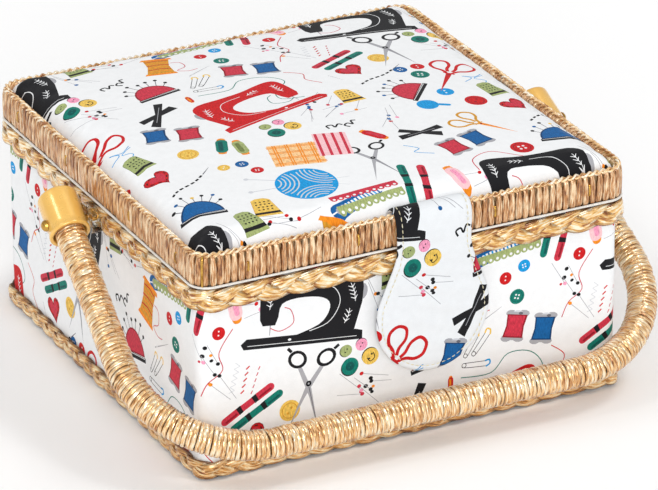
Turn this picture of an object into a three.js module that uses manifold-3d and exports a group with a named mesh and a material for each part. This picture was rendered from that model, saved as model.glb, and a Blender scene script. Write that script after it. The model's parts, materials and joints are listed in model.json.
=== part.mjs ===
// Square fabric-covered sewing basket with a padded lid, a swinging bail handle, a closing flap
// and two sliding trays.
// Millimetres, +Z up. The origin is the middle of the underside. -Y is the front, where the flap hangs.
import * as THREE from "three";
import { mergeVertices } from "three/addons/utils/BufferGeometryUtils.js";
import Module from "manifold-3d";

// ---- Driving dimensions -------------------------------------------------------------------------
const RIM_HALF = 125; // half width of the lid's outer face, in X and in Y
const CORNER = 10; // corner radius of the lid's outer face
const GAP = 0.3; // clearance between touching pieces
const CORNER_STEPS = 3;

const BODY_HALF = 122.5; // half width over the printed cover
const SKIN = 0.8; // thickness of cover and lining cloth
const BOARD = 3; // thickness of the wall and base boards
const BODY_TOP = 107.9;

const FELT = 0.8;
const BASE_BOTTOM = FELT + GAP;
const FLOOR = BASE_BOTTOM + BOARD + GAP; // where the walls and the floor lining stand

const LID_BOTTOM = 108.8;
const PIPING_HEIGHT = 1.3;
const RIM_BOTTOM = LID_BOTTOM + PIPING_HEIGHT + GAP;
const RIM_TOP = 127.3;
const RIM_THICKNESS = 5.2;
const RIM_WALL = 1.4; // thickness of the wound straw on each side of the frame
const LID_INNER = RIM_HALF - RIM_THICKNESS - GAP;
const DOME_TOP = 138.5;
const DOME_EDGE = 123.5;
const DOME_FLATNESS = 3.2; // higher keeps the middle flatter
const DOME_SHOULDER = 0.55; // lower makes the edge steeper

const TOP_BRAID = { low: 96.2, high: 108.3, reach: 3.4, bevel: 1.5 };
const BOTTOM_BRAID = { low: 0, high: 9.5, reach: 2.4, bevel: 1.1 };

const PIVOT = { x: 142.5, y: -2, z: 101.5 }; // handle axis, along X
const HANDLE_DROP = THREE.MathUtils.degToRad(29.5); // how far the handle points below the horizontal
const HANDLE_LENGTH = 159.6; // from the axis to the middle of the grip
const HANDLE_SPREAD = 150.2; // half width over the middle of the grip's corners
const HANDLE_CORNER = 62;
const WRAP_RADIUS = 8.2;
const CORE_RADIUS = 4.4;
const FERRULE = {
  radius: 10.75,
  wall: 1.6,
  above: 17, // from the axis to the closed end
  below: 8.5, // from the axis to the mouth
  floor: 2.5, // thickness of the closed end
  clear: 1.2, // gap to the spacer block
  round: 2, // size of the rounded shoulder
};
const BOLT_RADIUS = 2;
const BLOCK = { depth: 15, low: 94.4, high: 107.6, corner: 2.5 };

const FLAP = {
  x: 8,
  neck: 22, // half width at the top
  bulb: 33, // radius of the round end
  centre: 70.5, // height of the round end's middle
  top: 127.4,
  thickness: 3,
  back: RIM_HALF + 1.5,
  shoulder: 106, // where the neck begins to flare
};
const FLAP_ROOT = 1.8; // thickness of the flap's sewn end, which lies on the lid's edge
const CATCH = { radius: 8, z: 68, magnet: 1.6 };

const HINGE = {
  x: 70,
  width: 24,
  y: 128.4,
  z: LID_BOTTOM,
  radius: 1.9,
  pin: 0.9,
  leaf: 0.8,
  length: 15, // from the axis to a leaf's far edge
  step: 0.6, // how far a leaf's plate stands off its knuckles, and the pin beyond them
  reach: 1.2, // how far an arm runs past the knuckle's edge
};

const TRAY = { height: 28, wall: 1.7, floor: 2, corner: 4, side: 115.5, slack: 1.2, notch: 9 };
const BOARD_OUTER = BODY_HALF - SKIN - GAP;
const BOARD_INNER = BOARD_OUTER - BOARD;
const LINED = BOARD_INNER - GAP - SKIN; // half width of the lined inside
const WALL_BUILD = BODY_HALF - LINED; // thickness of the whole wall
const NUT = { radius: 3.8, thickness: 2 };
const UPPER_LEDGE = { thickness: 4.6, top: 77.7 };
const LOWER_LEDGE = { thickness: 6.4, top: 45.7 };
const LEDGE_SETBACK = 9; // from each end of a ledge to the side wall

const BOLT_HEAD = [[0, 0], [3.2, 0], [2.7, 1.2], [1.6, 2.1], [0, 2.4]]; // radius and height of the domed head
const LID_PANEL = { low: 117.9, thickness: 2.5, lining: 0.7 };
const PINCUSHION = { halfX: 46, halfY: 27, corner: 12, depth: 6, y: 44 };
const POCKET = { halfX: 88, halfY: 34, corner: 6, depth: 2.4, y: -52 };
// A soft pad under the lid: share of its outline, and share of its depth.
const CUSHION_ROWS = [[0, 0], [0.96, 0], [1, 0.25], [0.92, 0.62], [0.72, 0.9], [0.4, 0.98], [0, 1]];

// ---- Solids and cuts ----------------------------------------------------------------------------
const wasm = await Module();
wasm.setup();

function toSolid(geometry) {
  const bare = new THREE.BufferGeometry();
  const source = geometry.index ? geometry.toNonIndexed() : geometry;
  bare.setAttribute("position", source.getAttribute("position").clone());
  const merged = mergeVertices(bare, 1e-3);
  return new wasm.Manifold(
    new wasm.Mesh({
      numProp: 3,
      vertProperties: new Float32Array(merged.attributes.position.array),
      triVerts: new Uint32Array(merged.index.array),
    }),
  );
}

function toGeometry(solid) {
  const mesh = solid.getMesh();
  const positions = new Float32Array(mesh.vertProperties);
  const geometry = new THREE.BufferGeometry();
  geometry.setAttribute("position", new THREE.BufferAttribute(positions, mesh.numProp));
  geometry.setIndex(new THREE.BufferAttribute(new Uint32Array(mesh.triVerts), 1));
  const flat = geometry.toNonIndexed();
  flat.computeVertexNormals();
  return flat;
}

const cut = (geometry, ...tools) =>
  toGeometry(tools.reduce((solid, tool) => solid.subtract(toSolid(tool)), toSolid(geometry)));
const join = (geometry, ...more) =>
  toGeometry(more.reduce((solid, other) => solid.add(toSolid(other)), toSolid(geometry)));

// ---- Basic shapes -------------------------------------------------------------------------------
function roundedOutline(halfX, halfY, radius, Kind = THREE.Shape) {
  const outline = new Kind();
  const [x, y] = [halfX - radius, halfY - radius];
  outline.absarc(x, -y, radius, -Math.PI / 2, 0);
  outline.absarc(x, y, radius, 0, Math.PI / 2);
  outline.absarc(-x, y, radius, Math.PI / 2, Math.PI);
  outline.absarc(-x, -y, radius, Math.PI, 1.5 * Math.PI);
  outline.closePath();
  return outline;
}

function extrudeUp(shape, low, high, bevel = 0) {
  const geometry = new THREE.ExtrudeGeometry(shape, {
    depth: high - low - 2 * bevel,
    curveSegments: CORNER_STEPS,
    bevelEnabled: bevel > 0,
    bevelSize: bevel,
    bevelOffset: -bevel,
    bevelThickness: bevel,
    bevelSegments: 1,
  });
  return geometry.translate(0, 0, low + bevel);
}

// A plate or block with rounded corners, centred on the origin.
const plate = (halfX, halfY, radius, low, high, bevel = 0) =>
  extrudeUp(roundedOutline(halfX, halfY, radius), low, high, bevel);

// A square band between two half widths, its corners concentric with the lid's.
function band(outer, inner, low, high, bevel = 0) {
  const shape = roundedOutline(outer, outer, CORNER - (RIM_HALF - outer));
  shape.holes.push(roundedOutline(inner, inner, CORNER - (RIM_HALF - inner), THREE.Path));
  return extrudeUp(shape, low, high, bevel);
}

function block(x0, x1, y0, y1, z0, z1) {
  const box = new THREE.BoxGeometry(x1 - x0, y1 - y0, z1 - z0);
  return box.translate((x0 + x1) / 2, (y0 + y1) / 2, (z0 + z1) / 2);
}

// A cylinder along X from x0 to x1.
const rodX = (radius, x0, x1, y, z, sides = 20) =>
  new THREE.CylinderGeometry(radius, radius, Math.abs(x1 - x0), sides)
    .rotateZ(Math.PI / 2)
    .translate((x0 + x1) / 2, y, z);

// A solid on a rounded outline, like a lathe's: each row of the profile is [share of the outline, height],
// from the middle of the top, outwards, and back to the middle of the underside.
function crowned(halfX, halfY, radius, profile) {
  const outline = roundedOutline(halfX, halfY, radius).extractPoints(CORNER_STEPS).shape;
  if (outline[0].distanceTo(outline.at(-1)) < 1e-6) outline.pop();
  const around = outline.length;
  const [top, bottom] = [profile[0][1], profile.at(-1)[1]];
  const rows = profile.slice(1, -1);
  const positions = [0, 0, top];
  for (const [share, z] of rows)
    for (const p of outline) positions.push(p.x * share, p.y * share, z);
  positions.push(0, 0, bottom);
  const last = positions.length / 3 - 1;
  const index = [];
  for (let i = 0; i < around; i++) {
    const next = (i + 1) % around;
    index.push(0, 1 + i, 1 + next);
    for (let row = 0; row < rows.length - 1; row++) {
      const [a, b] = [1 + row * around + i, 1 + row * around + next];
      index.push(a, a + around, b + around, a, b + around, b);
    }
    const foot = 1 + (rows.length - 1) * around;
    index.push(foot + next, foot + i, last);
  }
  const geometry = new THREE.BufferGeometry();
  geometry.setAttribute("position", new THREE.Float32BufferAttribute(positions, 3));
  geometry.setIndex(index);
  return geometry;
}

// ---- Materials ----------------------------------------------------------------------------------
const material = (color, roughness, metalness = 0, opacity = 1) =>
  new THREE.MeshStandardMaterial({ color, roughness, metalness, opacity, transparent: opacity < 1 });
const FINISH = {
  print: material(0xf1f1f0, 0.85),
  lining: material(0xf3ede2, 0.55),
  straw: material(0xd9ac74, 0.6),
  paleStraw: material(0xe6c48c, 0.65),
  board: material(0xb49a78, 0.9),
  felt: material(0x3a3836, 0.95),
  gold: material(0xdca640, 0.35),
  clear: material(0xd8dad6, 0.2, 0, 0.6),
  brass: material(0xb08a3a, 0.3, 1),
  steel: material(0x9a9c9e, 0.35, 1),
  foam: material(0xf4f2ea, 0.95),
  cushion: material(0xb3202f, 0.8),
  cane: material(0xb98f5a, 0.7),
  tray: material(0xf4f3ef, 0.4),
};

const basket = new THREE.Group();
function place(group, name, geometry, finish) {
  const mesh = new THREE.Mesh(geometry, FINISH[finish]);
  mesh.name = name;
  group.add(mesh);
  return mesh;
}

// A hole along X for one handle bolt, through every piece on that side.
function boltHole(side) {
  const [inner, outer] = [LINED - WALL_BUILD, PIVOT.x + 3 * FERRULE.radius];
  return rodX(BOLT_RADIUS + GAP, side * inner, side * outer, PIVOT.y, PIVOT.z, 16);
}
function nutBody(side, slack) {
  const face = side * (BOARD_INNER - slack);
  const back = side * (BOARD_INNER + NUT.thickness + slack);
  return rodX(NUT.radius + slack, face, back, PIVOT.y, PIVOT.z, 6);
}
const bothBoltHoles = [boltHole(-1), boltHole(1)];

// ---- The box ------------------------------------------------------------------------------------
function addBox() {
  const group = new THREE.Group();
  const coverInner = BODY_HALF - SKIN;
  const liningOuter = BOARD_INNER - GAP;
  const baseCorner = CORNER - (RIM_HALF - BOARD_OUTER);

  place(group, "bottom_felt", plate(BODY_HALF - GAP, BODY_HALF - GAP, baseCorner + 1, 0, FELT), "felt");
  const base = plate(BOARD_OUTER, BOARD_OUTER, baseCorner, BASE_BOTTOM, BASE_BOTTOM + BOARD);
  place(group, "base_board", base, "board");
  const walls = band(BOARD_OUTER, BOARD_INNER, FLOOR, BODY_TOP - GAP);
  place(group, "wall_board", cut(walls, ...bothBoltHoles, nutBody(-1, GAP), nutBody(1, GAP)), "board");
  const cover = band(BODY_HALF, coverInner, BASE_BOTTOM, BODY_TOP);
  place(group, "outer_cover", cut(cover, ...bothBoltHoles), "print");
  place(group, "wall_lining", band(liningOuter, LINED, FLOOR + SKIN + GAP, BODY_TOP), "lining");
  const floorCorner = CORNER - (RIM_HALF - liningOuter);
  const floorCloth = plate(liningOuter, liningOuter, floorCorner, FLOOR, FLOOR + SKIN);
  place(group, "floor_lining", floorCloth, "lining");

  const trim = BODY_HALF + GAP;
  const beyond = trim + 2 * TOP_BRAID.reach;
  const halfDepth = BLOCK.depth / 2 + GAP;
  const braidHole = (side) =>
    block(
      Math.min(side * BODY_HALF, side * beyond),
      Math.max(side * BODY_HALF, side * beyond),
      PIVOT.y - halfDepth,
      PIVOT.y + halfDepth,
      TOP_BRAID.low - 1,
      BLOCK.high + GAP,
    );
  const top = band(trim + TOP_BRAID.reach, trim, TOP_BRAID.low, TOP_BRAID.high, TOP_BRAID.bevel);
  place(group, "top_braid", cut(top, braidHole(-1), braidHole(1)), "paleStraw");
  const foot = band(trim + BOTTOM_BRAID.reach, trim, BOTTOM_BRAID.low, BOTTOM_BRAID.high, BOTTOM_BRAID.bevel);
  place(group, "bottom_braid", foot, "paleStraw");

  addLedges(group);
  place(group, "catch_disc", catchDisc(), "steel");
  basket.add(group);
}

// Lined boards stand on the floor along the front and rear walls, and carry the trays on their top edges.
function addLedges(group) {
  const length = LINED - LEDGE_SETBACK;
  for (const [side, word] of [[-1, "front"], [1, "rear"]]) {
    let outer = LINED - GAP;
    for (const [level, ledge] of [["upper", UPPER_LEDGE], ["lower", LOWER_LEDGE]]) {
      const inner = outer - ledge.thickness;
      const [y0, y1] = [Math.min(side * inner, side * outer), Math.max(side * inner, side * outer)];
      const low = FLOOR + SKIN + GAP;
      place(group, `${level}_ledge_${word}`, block(-length, length, y0, y1, low, ledge.top), "lining");
      outer = inner - GAP;
    }
  }
}

// The steel disc on the front wall that the flap's magnet holds.
function catchDisc() {
  const depth = FLAP.back - BODY_HALF - 2 * GAP;
  return new THREE.CylinderGeometry(CATCH.radius - 1, CATCH.radius, depth, 32).translate(
    FLAP.x,
    -(BODY_HALF + GAP + depth / 2),
    CATCH.z,
  );
}

// ---- Handle pivots ------------------------------------------------------------------------------
function addPivots() {
  const group = new THREE.Group();
  for (const [side, word] of [[-1, "left"], [1, "right"]]) {
    const [inner, outer] = [BODY_HALF + GAP, PIVOT.x - FERRULE.radius - FERRULE.clear];
    const spacer = plate(BLOCK.depth / 2, (BLOCK.high - BLOCK.low) / 2, BLOCK.corner, inner, outer)
      .rotateZ(Math.PI / 2)
      .rotateY(Math.PI / 2)
      .translate(0, PIVOT.y, (BLOCK.low + BLOCK.high) / 2);
    if (side < 0) spacer.rotateZ(Math.PI).translate(0, 2 * PIVOT.y, 0);
    place(group, `pivot_block_${word}`, cut(spacer, boltHole(side)), "clear");

    const headFace = PIVOT.x + FERRULE.radius + 2 * GAP;
    const shankEnd = side * (headFace + BOLT_RADIUS / 4); // a little way into the head
    const shank = rodX(BOLT_RADIUS, side * BOARD_INNER, shankEnd, PIVOT.y, PIVOT.z, 16);
    const headProfile = BOLT_HEAD.map(([r, h]) => new THREE.Vector2(r, h));
    const head = new THREE.LatheGeometry(headProfile, 20).rotateZ(-Math.PI / 2);
    if (side < 0) head.rotateZ(Math.PI);
    head.translate(side * headFace, PIVOT.y, PIVOT.z);
    place(group, `pivot_bolt_${word}`, join(shank, head), "brass");

    place(group, `pivot_nut_${word}`, cut(nutBody(side, 0), boltHole(side)), "steel");
  }
  basket.add(group);
}

// ---- Handle -------------------------------------------------------------------------------------
// The handle lies in a plane through the pivot axis. In that plane, u runs along X and v away from the axis.
const along = (u, v) =>
  new THREE.Vector3(u, PIVOT.y - v * Math.cos(HANDLE_DROP), PIVOT.z - v * Math.sin(HANDLE_DROP));

const ARM_SHARE = 0.1;
const ARC_SHARE = 0.3;
class HandleCurve extends THREE.Curve {
  constructor() {
    super();
    this.centre = [HANDLE_SPREAD - HANDLE_CORNER, HANDLE_LENGTH - HANDLE_CORNER];
    const [du, dv] = [this.centre[0] - PIVOT.x, this.centre[1]];
    // The arm runs straight from the pivot to where it touches the corner's circle.
    const towardsCentre = Math.atan2(dv, du) - Math.PI;
    this.startAngle = towardsCentre + Math.acos(HANDLE_CORNER / Math.hypot(du, dv));
    this.splay = -this.startAngle;
    this.tail = FERRULE.above - FERRULE.floor - 1;
    this.arm = this.tail + Math.sqrt(du * du + dv * dv - HANDLE_CORNER ** 2);
    this.arc = HANDLE_CORNER * (Math.PI / 2 - this.startAngle);
    this.grip = this.centre[0];
    this.half = this.arm + this.arc + this.grip;
  }
  // Distance along one half of the handle. Most of the range goes to the corner, where the curve bends.
  distance(t) {
    const bent = ARM_SHARE + ARC_SHARE;
    if (t < ARM_SHARE) return (t / ARM_SHARE) * this.arm;
    if (t < bent) return this.arm + ((t - ARM_SHARE) / ARC_SHARE) * this.arc;
    return this.arm + this.arc + ((t - bent) / (0.5 - bent)) * this.grip;
  }
  getPoint(t, target = new THREE.Vector3()) {
    const side = t < 0.5 ? -1 : 1;
    const s = this.distance(t < 0.5 ? t : 1 - t);
    const [cu, cv] = this.centre;
    let [u, v] = [0, 0];
    if (s < this.arm) {
      u = PIVOT.x + (s - this.tail) * Math.sin(this.splay);
      v = (s - this.tail) * Math.cos(this.splay);
    } else if (s < this.arm + this.arc) {
      const angle = this.startAngle + (s - this.arm) / HANDLE_CORNER;
      u = cu + HANDLE_CORNER * Math.cos(angle);
      v = cv + HANDLE_CORNER * Math.sin(angle);
    } else {
      u = this.half - s;
      v = HANDLE_LENGTH;
    }
    return target.copy(along(side * u, v));
  }
  getPointAt(t, target) {
    return this.getPoint(t, target); // the steps stay where getPoint puts them
  }
  getTangentAt(t, target = new THREE.Vector3()) {
    const step = 1e-3;
    const [a, b] = [this.getPoint(Math.max(0, t - step)), this.getPoint(Math.min(1, t + step))];
    return target.copy(b.sub(a)).normalize();
  }
}

function addHandle() {
  const group = new THREE.Group();
  const path = new HandleCurve();
  const steps = 40;
  const rope = (radius, hole, sides) => {
    const shape = new THREE.Shape().absarc(0, 0, radius, 0, 2 * Math.PI);
    if (hole) shape.holes.push(new THREE.Path().absarc(0, 0, hole, 0, 2 * Math.PI, true));
    const sweep = { steps, curveSegments: sides, bevelEnabled: false, extrudePath: path };
    return new THREE.ExtrudeGeometry(shape, sweep);
  };
  place(group, "handle_core", cut(rope(CORE_RADIUS, 0, 5), ...bothBoltHoles), "cane");
  place(group, "handle_wrap", cut(rope(WRAP_RADIUS, CORE_RADIUS + GAP, 8), ...bothBoltHoles), "straw");
  for (const [side, word] of [[-1, "left"], [1, "right"]]) {
    const { radius, wall, above, below, floor, round } = FERRULE;
    const bore = radius - wall;
    // Closed end, chamfered outer corner, open mouth with a small lip.
    const profile = [
      [0, -above],
      [radius - round, -above],
      [radius - 0.3 * round, -above + 0.4 * round],
      [radius, -above + 1.2 * round],
      [radius, below - 0.4 * round],
      [radius - 0.3 * round, below],
      [bore, below],
      [bore, -above + floor],
      [0, -above + floor],
    ].map(([r, s]) => new THREE.Vector2(r, s));
    // The cup lies along its arm, which leans outwards a little.
    const cup = new THREE.LatheGeometry(profile, 24)
      .rotateZ(-side * path.splay)
      .rotateX(Math.PI + HANDLE_DROP)
      .translate(side * PIVOT.x, PIVOT.y, PIVOT.z);
    place(group, `ferrule_${word}`, cut(cup, boltHole(side)), "gold");
  }
  basket.add(group);
}

// ---- Lid ----------------------------------------------------------------------------------------
function addLid() {
  const group = new THREE.Group();
  const [outer, inner] = [RIM_HALF, RIM_HALF - RIM_THICKNESS];
  const channelTop = RIM_TOP - RIM_WALL;
  const channel = band(outer - RIM_WALL, inner + RIM_WALL, RIM_BOTTOM - 1, channelTop);
  place(group, "lid_rim_wrap", cut(band(outer, inner, RIM_BOTTOM, RIM_TOP, 0.9), channel), "straw");
  const frame = band(outer - RIM_WALL - GAP, inner + RIM_WALL + GAP, RIM_BOTTOM + GAP, channelTop - GAP);
  place(group, "lid_frame", frame, "board");
  const piping = band(outer - GAP, inner + GAP, LID_BOTTOM, LID_BOTTOM + PIPING_HEIGHT);
  place(group, "lid_piping", piping, "lining");

  const corner = CORNER - RIM_THICKNESS;
  const panelTop = LID_PANEL.low + LID_PANEL.thickness;
  const liningTop = LID_PANEL.low - GAP;
  const liningLow = liningTop - LID_PANEL.lining;
  const lidPlate = (low, high) => plate(LID_INNER, LID_INNER, corner, low, high);
  place(group, "lid_panel", lidPlate(LID_PANEL.low, panelTop), "board");
  place(group, "lid_lining", lidPlate(liningLow, liningTop), "lining");

  // The cover is cloth over a foam pad: it rises steeply at the rim, then gently to the middle.
  const shares = [0, 0.35, 0.6, 0.78, 0.89, 0.95, 0.985, 1];
  const rise = (share) => (1 - share ** DOME_FLATNESS) ** DOME_SHOULDER;
  const dome = (edge, top) => shares.map((share) => [share, edge + (top - edge) * rise(share)]);
  const scaled = (rows, size) => rows.map(([share, z]) => [share * size, z]);
  const clothInside = 0.99; // the cloth's inner face, as a share of its outer one
  const padEdge = 0.975;
  const padTop = DOME_TOP - SKIN - GAP;
  const clothEdge = panelTop + GAP;
  const cloth = [
    ...dome(DOME_EDGE, DOME_TOP),
    [1, clothEdge],
    [clothInside, clothEdge],
    ...scaled(dome(DOME_EDGE - SKIN, DOME_TOP - SKIN), clothInside).reverse(),
  ];
  place(group, "lid_cover", crowned(LID_INNER, LID_INNER, corner, cloth), "print");
  const padRise = scaled(dome(DOME_EDGE - 2 * SKIN, padTop), padEdge);
  const pad = [...padRise, [padEdge, clothEdge], [0, clothEdge]];
  place(group, "lid_padding", crowned(LID_INNER, LID_INNER, corner, pad), "foam");

  const hang = (name, soft, finish) => {
    const rows = CUSHION_ROWS.map(([share, drop]) => [share, liningLow - GAP - soft.depth * drop]);
    const shape = crowned(soft.halfX, soft.halfY, soft.corner, rows);
    place(group, name, shape.translate(0, soft.y, 0), finish);
  };
  hang("lid_pincushion", PINCUSHION, "cushion");
  hang("lid_pocket", POCKET, "lining");
  basket.add(group);
}

// ---- Rear hinges --------------------------------------------------------------------------------
function addHinges() {
  const group = new THREE.Group();
  const { width, y, z, radius, pin, leaf, length, step, reach } = HINGE;
  const knuckle = width / 6;
  const plateLowest = z - length;
  const faceLid = RIM_HALF + GAP;
  const faceBody = BODY_HALF + GAP + TOP_BRAID.reach + GAP;
  const bore = rodX(pin + GAP, -width, width, y, z, 12);
  for (const [side, word] of [[-1, "left"], [1, "right"]]) {
    const x = side * HINGE.x;
    const lidLeaf = cut(
      join(
        block(-width / 2, width / 2, faceLid, faceLid + leaf, z + radius + step, z + length),
        block(-knuckle + GAP, knuckle - GAP, faceLid, y - leaf, z + pin, z + radius + reach),
        rodX(radius, -knuckle + GAP, knuckle - GAP, y, z),
      ),
      bore,
    ).translate(x, 0, 0);
    place(group, `hinge_leaf_lid_${word}`, lidLeaf, "brass");
    const arms = [-1, 1].flatMap((end) => {
      const [x0, x1] = end < 0 ? [-width / 2, -knuckle] : [knuckle, width / 2];
      return [
        block(x0, x1, faceBody, faceBody + leaf, z - radius - reach, z - GAP / 2),
        rodX(radius, x0, x1, y, z),
      ];
    });
    const plateTop = z - radius - step;
    const bodyPlate = block(-width / 2, width / 2, faceBody, faceBody + leaf, plateLowest, plateTop);
    const bodyLeaf = cut(join(bodyPlate, ...arms), bore).translate(x, 0, 0);
    place(group, `hinge_leaf_body_${word}`, bodyLeaf, "brass");
    const pinReach = width / 2 + step;
    place(group, `hinge_pin_${word}`, rodX(pin, x - pinReach, x + pinReach, y, z, 12), "brass");
  }
  basket.add(group);
}

// ---- Flap ---------------------------------------------------------------------------------------
function addFlap() {
  const group = new THREE.Group();
  const { x, neck, bulb, centre, top, thickness, back, shoulder } = FLAP;
  const lean = THREE.MathUtils.degToRad(18); // where the neck's curve meets the bulb's circle
  const [touchX, touchZ] = [bulb * Math.cos(lean), centre + bulb * Math.sin(lean)];
  const outline = new THREE.Shape();
  outline.moveTo(neck, top);
  outline.lineTo(-neck, top);
  outline.lineTo(-neck, shoulder);
  // The curve leaves the neck straight down and meets the circle along its tangent.
  const [bendZ, tangentX, tangentZ] = [shoulder - 9, touchX - 5, touchZ + 12];
  outline.bezierCurveTo(-neck, bendZ, -tangentX, tangentZ, -touchX, touchZ);
  outline.absarc(0, centre, bulb, Math.PI - lean, 2 * Math.PI + lean);
  outline.bezierCurveTo(tangentX, tangentZ, neck, bendZ, neck, shoulder);
  outline.closePath();
  const depth = { depth: thickness, curveSegments: 20, bevelEnabled: false };
  const sheet = new THREE.ExtrudeGeometry(outline, depth).rotateX(Math.PI / 2).translate(x, -back, 0);
  const disc = (radius, y0, y1) =>
    new THREE.CylinderGeometry(radius, radius, y1 - y0, 32).translate(x, (y0 + y1) / 2, CATCH.z);
  const pocket = disc(CATCH.radius + GAP, -back - CATCH.magnet - GAP, -back + 1);
  place(group, "flap_cloth", cut(sheet, pocket), "print");
  place(group, "flap_magnet", disc(CATCH.radius, -back - CATCH.magnet, -back), "steel");
  const rootLow = RIM_TOP + GAP;
  const root = block(x - neck, x + neck, -RIM_HALF, -LID_INNER - GAP, rootLow, rootLow + FLAP_ROOT);
  place(group, "flap_root", root, "print");
  basket.add(group);
}

// ---- Trays --------------------------------------------------------------------------------------
// An open moulded tray with a grid of square-cornered compartments and a finger notch in each end wall.
function tray(halfY, low, columns, rows) {
  const { height, wall, floor, corner, side } = TRAY;
  const body = plate(side / 2, halfY, corner, low, low + height);
  const cellX = (side - wall * (columns + 1)) / columns;
  const cellY = (2 * halfY - wall * (rows + 1)) / rows;
  const pockets = [];
  const pocket = plate(cellX / 2, cellY / 2, corner - wall, low + floor, low + height + 1);
  for (let i = 0; i < columns; i++)
    for (let j = 0; j < rows; j++) {
      const x = -side / 2 + wall + cellX / 2 + i * (cellX + wall);
      const y = -halfY + wall + cellY / 2 + j * (cellY + wall);
      pockets.push(pocket.clone().translate(x, y, 0));
    }
  const notch = rodX(TRAY.notch, -side, side, 0, low + height, 24).rotateZ(Math.PI / 2);
  return cut(body, ...pockets, notch);
}

function addTrays() {
  const group = new THREE.Group();
  const upperHalfY = LINED - TRAY.slack;
  const lowerHalfY = LINED - GAP - UPPER_LEDGE.thickness - TRAY.slack;
  const centre = LINED - TRAY.slack - TRAY.side / 2;
  const upper = tray(upperHalfY, UPPER_LEDGE.top + GAP, 2, 3).translate(-centre, 0, 0);
  const lower = tray(lowerHalfY, LOWER_LEDGE.top + GAP, 2, 2).translate(centre, 0, 0);
  place(group, "upper_tray_shell", upper, "tray");
  place(group, "lower_tray_shell", lower, "tray");
  basket.add(group);
}

addBox();
addPivots();
addHandle();
addLid();
addHinges();
addFlap();
addTrays();

export default basket;
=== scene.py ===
"""Looks of a square sewing basket: printed cotton, wound straw, plaited braid, padded lid, flap and trays."""
import json
import math
import random

import bpy
import numpy as np
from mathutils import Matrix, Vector
from mathutils.geometry import delaunay_2d_cdt


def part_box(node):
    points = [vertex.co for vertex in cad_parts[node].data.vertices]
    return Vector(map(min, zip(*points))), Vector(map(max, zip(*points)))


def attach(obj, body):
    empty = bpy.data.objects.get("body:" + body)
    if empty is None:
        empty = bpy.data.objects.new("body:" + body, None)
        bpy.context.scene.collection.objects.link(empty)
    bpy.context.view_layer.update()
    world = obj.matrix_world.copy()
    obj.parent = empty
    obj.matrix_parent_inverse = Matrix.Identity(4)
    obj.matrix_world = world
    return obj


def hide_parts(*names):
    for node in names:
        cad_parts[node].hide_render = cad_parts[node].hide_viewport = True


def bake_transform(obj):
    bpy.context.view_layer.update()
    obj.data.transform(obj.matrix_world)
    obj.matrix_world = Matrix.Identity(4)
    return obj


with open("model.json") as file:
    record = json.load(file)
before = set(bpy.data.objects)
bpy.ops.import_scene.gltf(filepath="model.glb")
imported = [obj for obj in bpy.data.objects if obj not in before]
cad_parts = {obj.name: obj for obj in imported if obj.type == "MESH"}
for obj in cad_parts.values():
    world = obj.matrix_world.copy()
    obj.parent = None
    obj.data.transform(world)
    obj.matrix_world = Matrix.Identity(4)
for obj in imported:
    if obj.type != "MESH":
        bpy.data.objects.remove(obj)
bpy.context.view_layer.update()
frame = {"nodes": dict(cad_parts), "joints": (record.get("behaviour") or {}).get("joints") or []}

MM = 0.001
TAU = 2 * math.pi
rng = np.random.default_rng(11)

# ---- Camera, light and floor -----------------------------------------------------------------------------
CAMERA_TARGET = Vector((0.0127, 0.0, 0.0540))
CAMERA_AZIMUTH = math.radians(-26.78)
CAMERA_ELEVATION = math.radians(25.14)
CAMERA_ROLL = math.radians(-0.15)
CAMERA_DISTANCE = 2.850
CAMERA_LENS = 289.4
CAMERA_NEAR, CAMERA_FAR = 0.1, 50
SOFTBOXES = (  # name, direction from the object, spread in degrees, strength
    ("left", (-0.60, 0.15, 0.78), 16, 0.40),
    ("right", (0.41, -0.18, 0.90), 16, 0.62),
    ("front", (-0.36, -0.86, 0.36), 30, 1.30),
)
SKY_STRENGTH = 0.60
FLOOR_REACH = 8
FLOOR_DROP = 0.0002
FLOOR_COLOUR = (0.99, 0.99, 0.99, 1)
FLOOR_ROUGHNESS = 0.9


def link(name, data):
    """A new object in the scene."""
    made = bpy.data.objects.new(name, data)
    bpy.context.scene.collection.objects.link(made)
    return made


def add_camera():
    data = bpy.data.cameras.new("camera")
    data.lens = CAMERA_LENS
    data.clip_start = CAMERA_NEAR
    data.clip_end = CAMERA_FAR
    camera = link("camera", data)
    flat = math.cos(CAMERA_ELEVATION)
    back = Vector((
        math.sin(CAMERA_AZIMUTH) * flat,
        -math.cos(CAMERA_AZIMUTH) * flat,
        math.sin(CAMERA_ELEVATION),
    ))
    camera.location = CAMERA_TARGET + back * CAMERA_DISTANCE
    camera.rotation_euler = (-back).to_track_quat("-Z", "Y").to_matrix().to_4x4().to_euler()
    camera.rotation_euler.rotate_axis("Z", CAMERA_ROLL)
    bpy.context.scene.camera = camera


def add_softbox(name, towards, spread, strength):
    """A distant soft light that fills a disc of sky, spread degrees across."""
    data = bpy.data.lights.new(name, "SUN")
    data.angle = math.radians(spread)
    data.energy = strength
    link(name, data).rotation_euler = Vector(towards).to_track_quat("Z", "Y").to_euler()


def add_sky():
    world = bpy.data.worlds.new("studio")
    world.use_nodes = True
    background = world.node_tree.nodes["Background"]
    background.inputs["Color"].default_value = (1, 1, 1, 1)
    background.inputs["Strength"].default_value = SKY_STRENGTH
    bpy.context.scene.world = world
    bpy.context.scene.view_settings.view_transform = "Standard"


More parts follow.
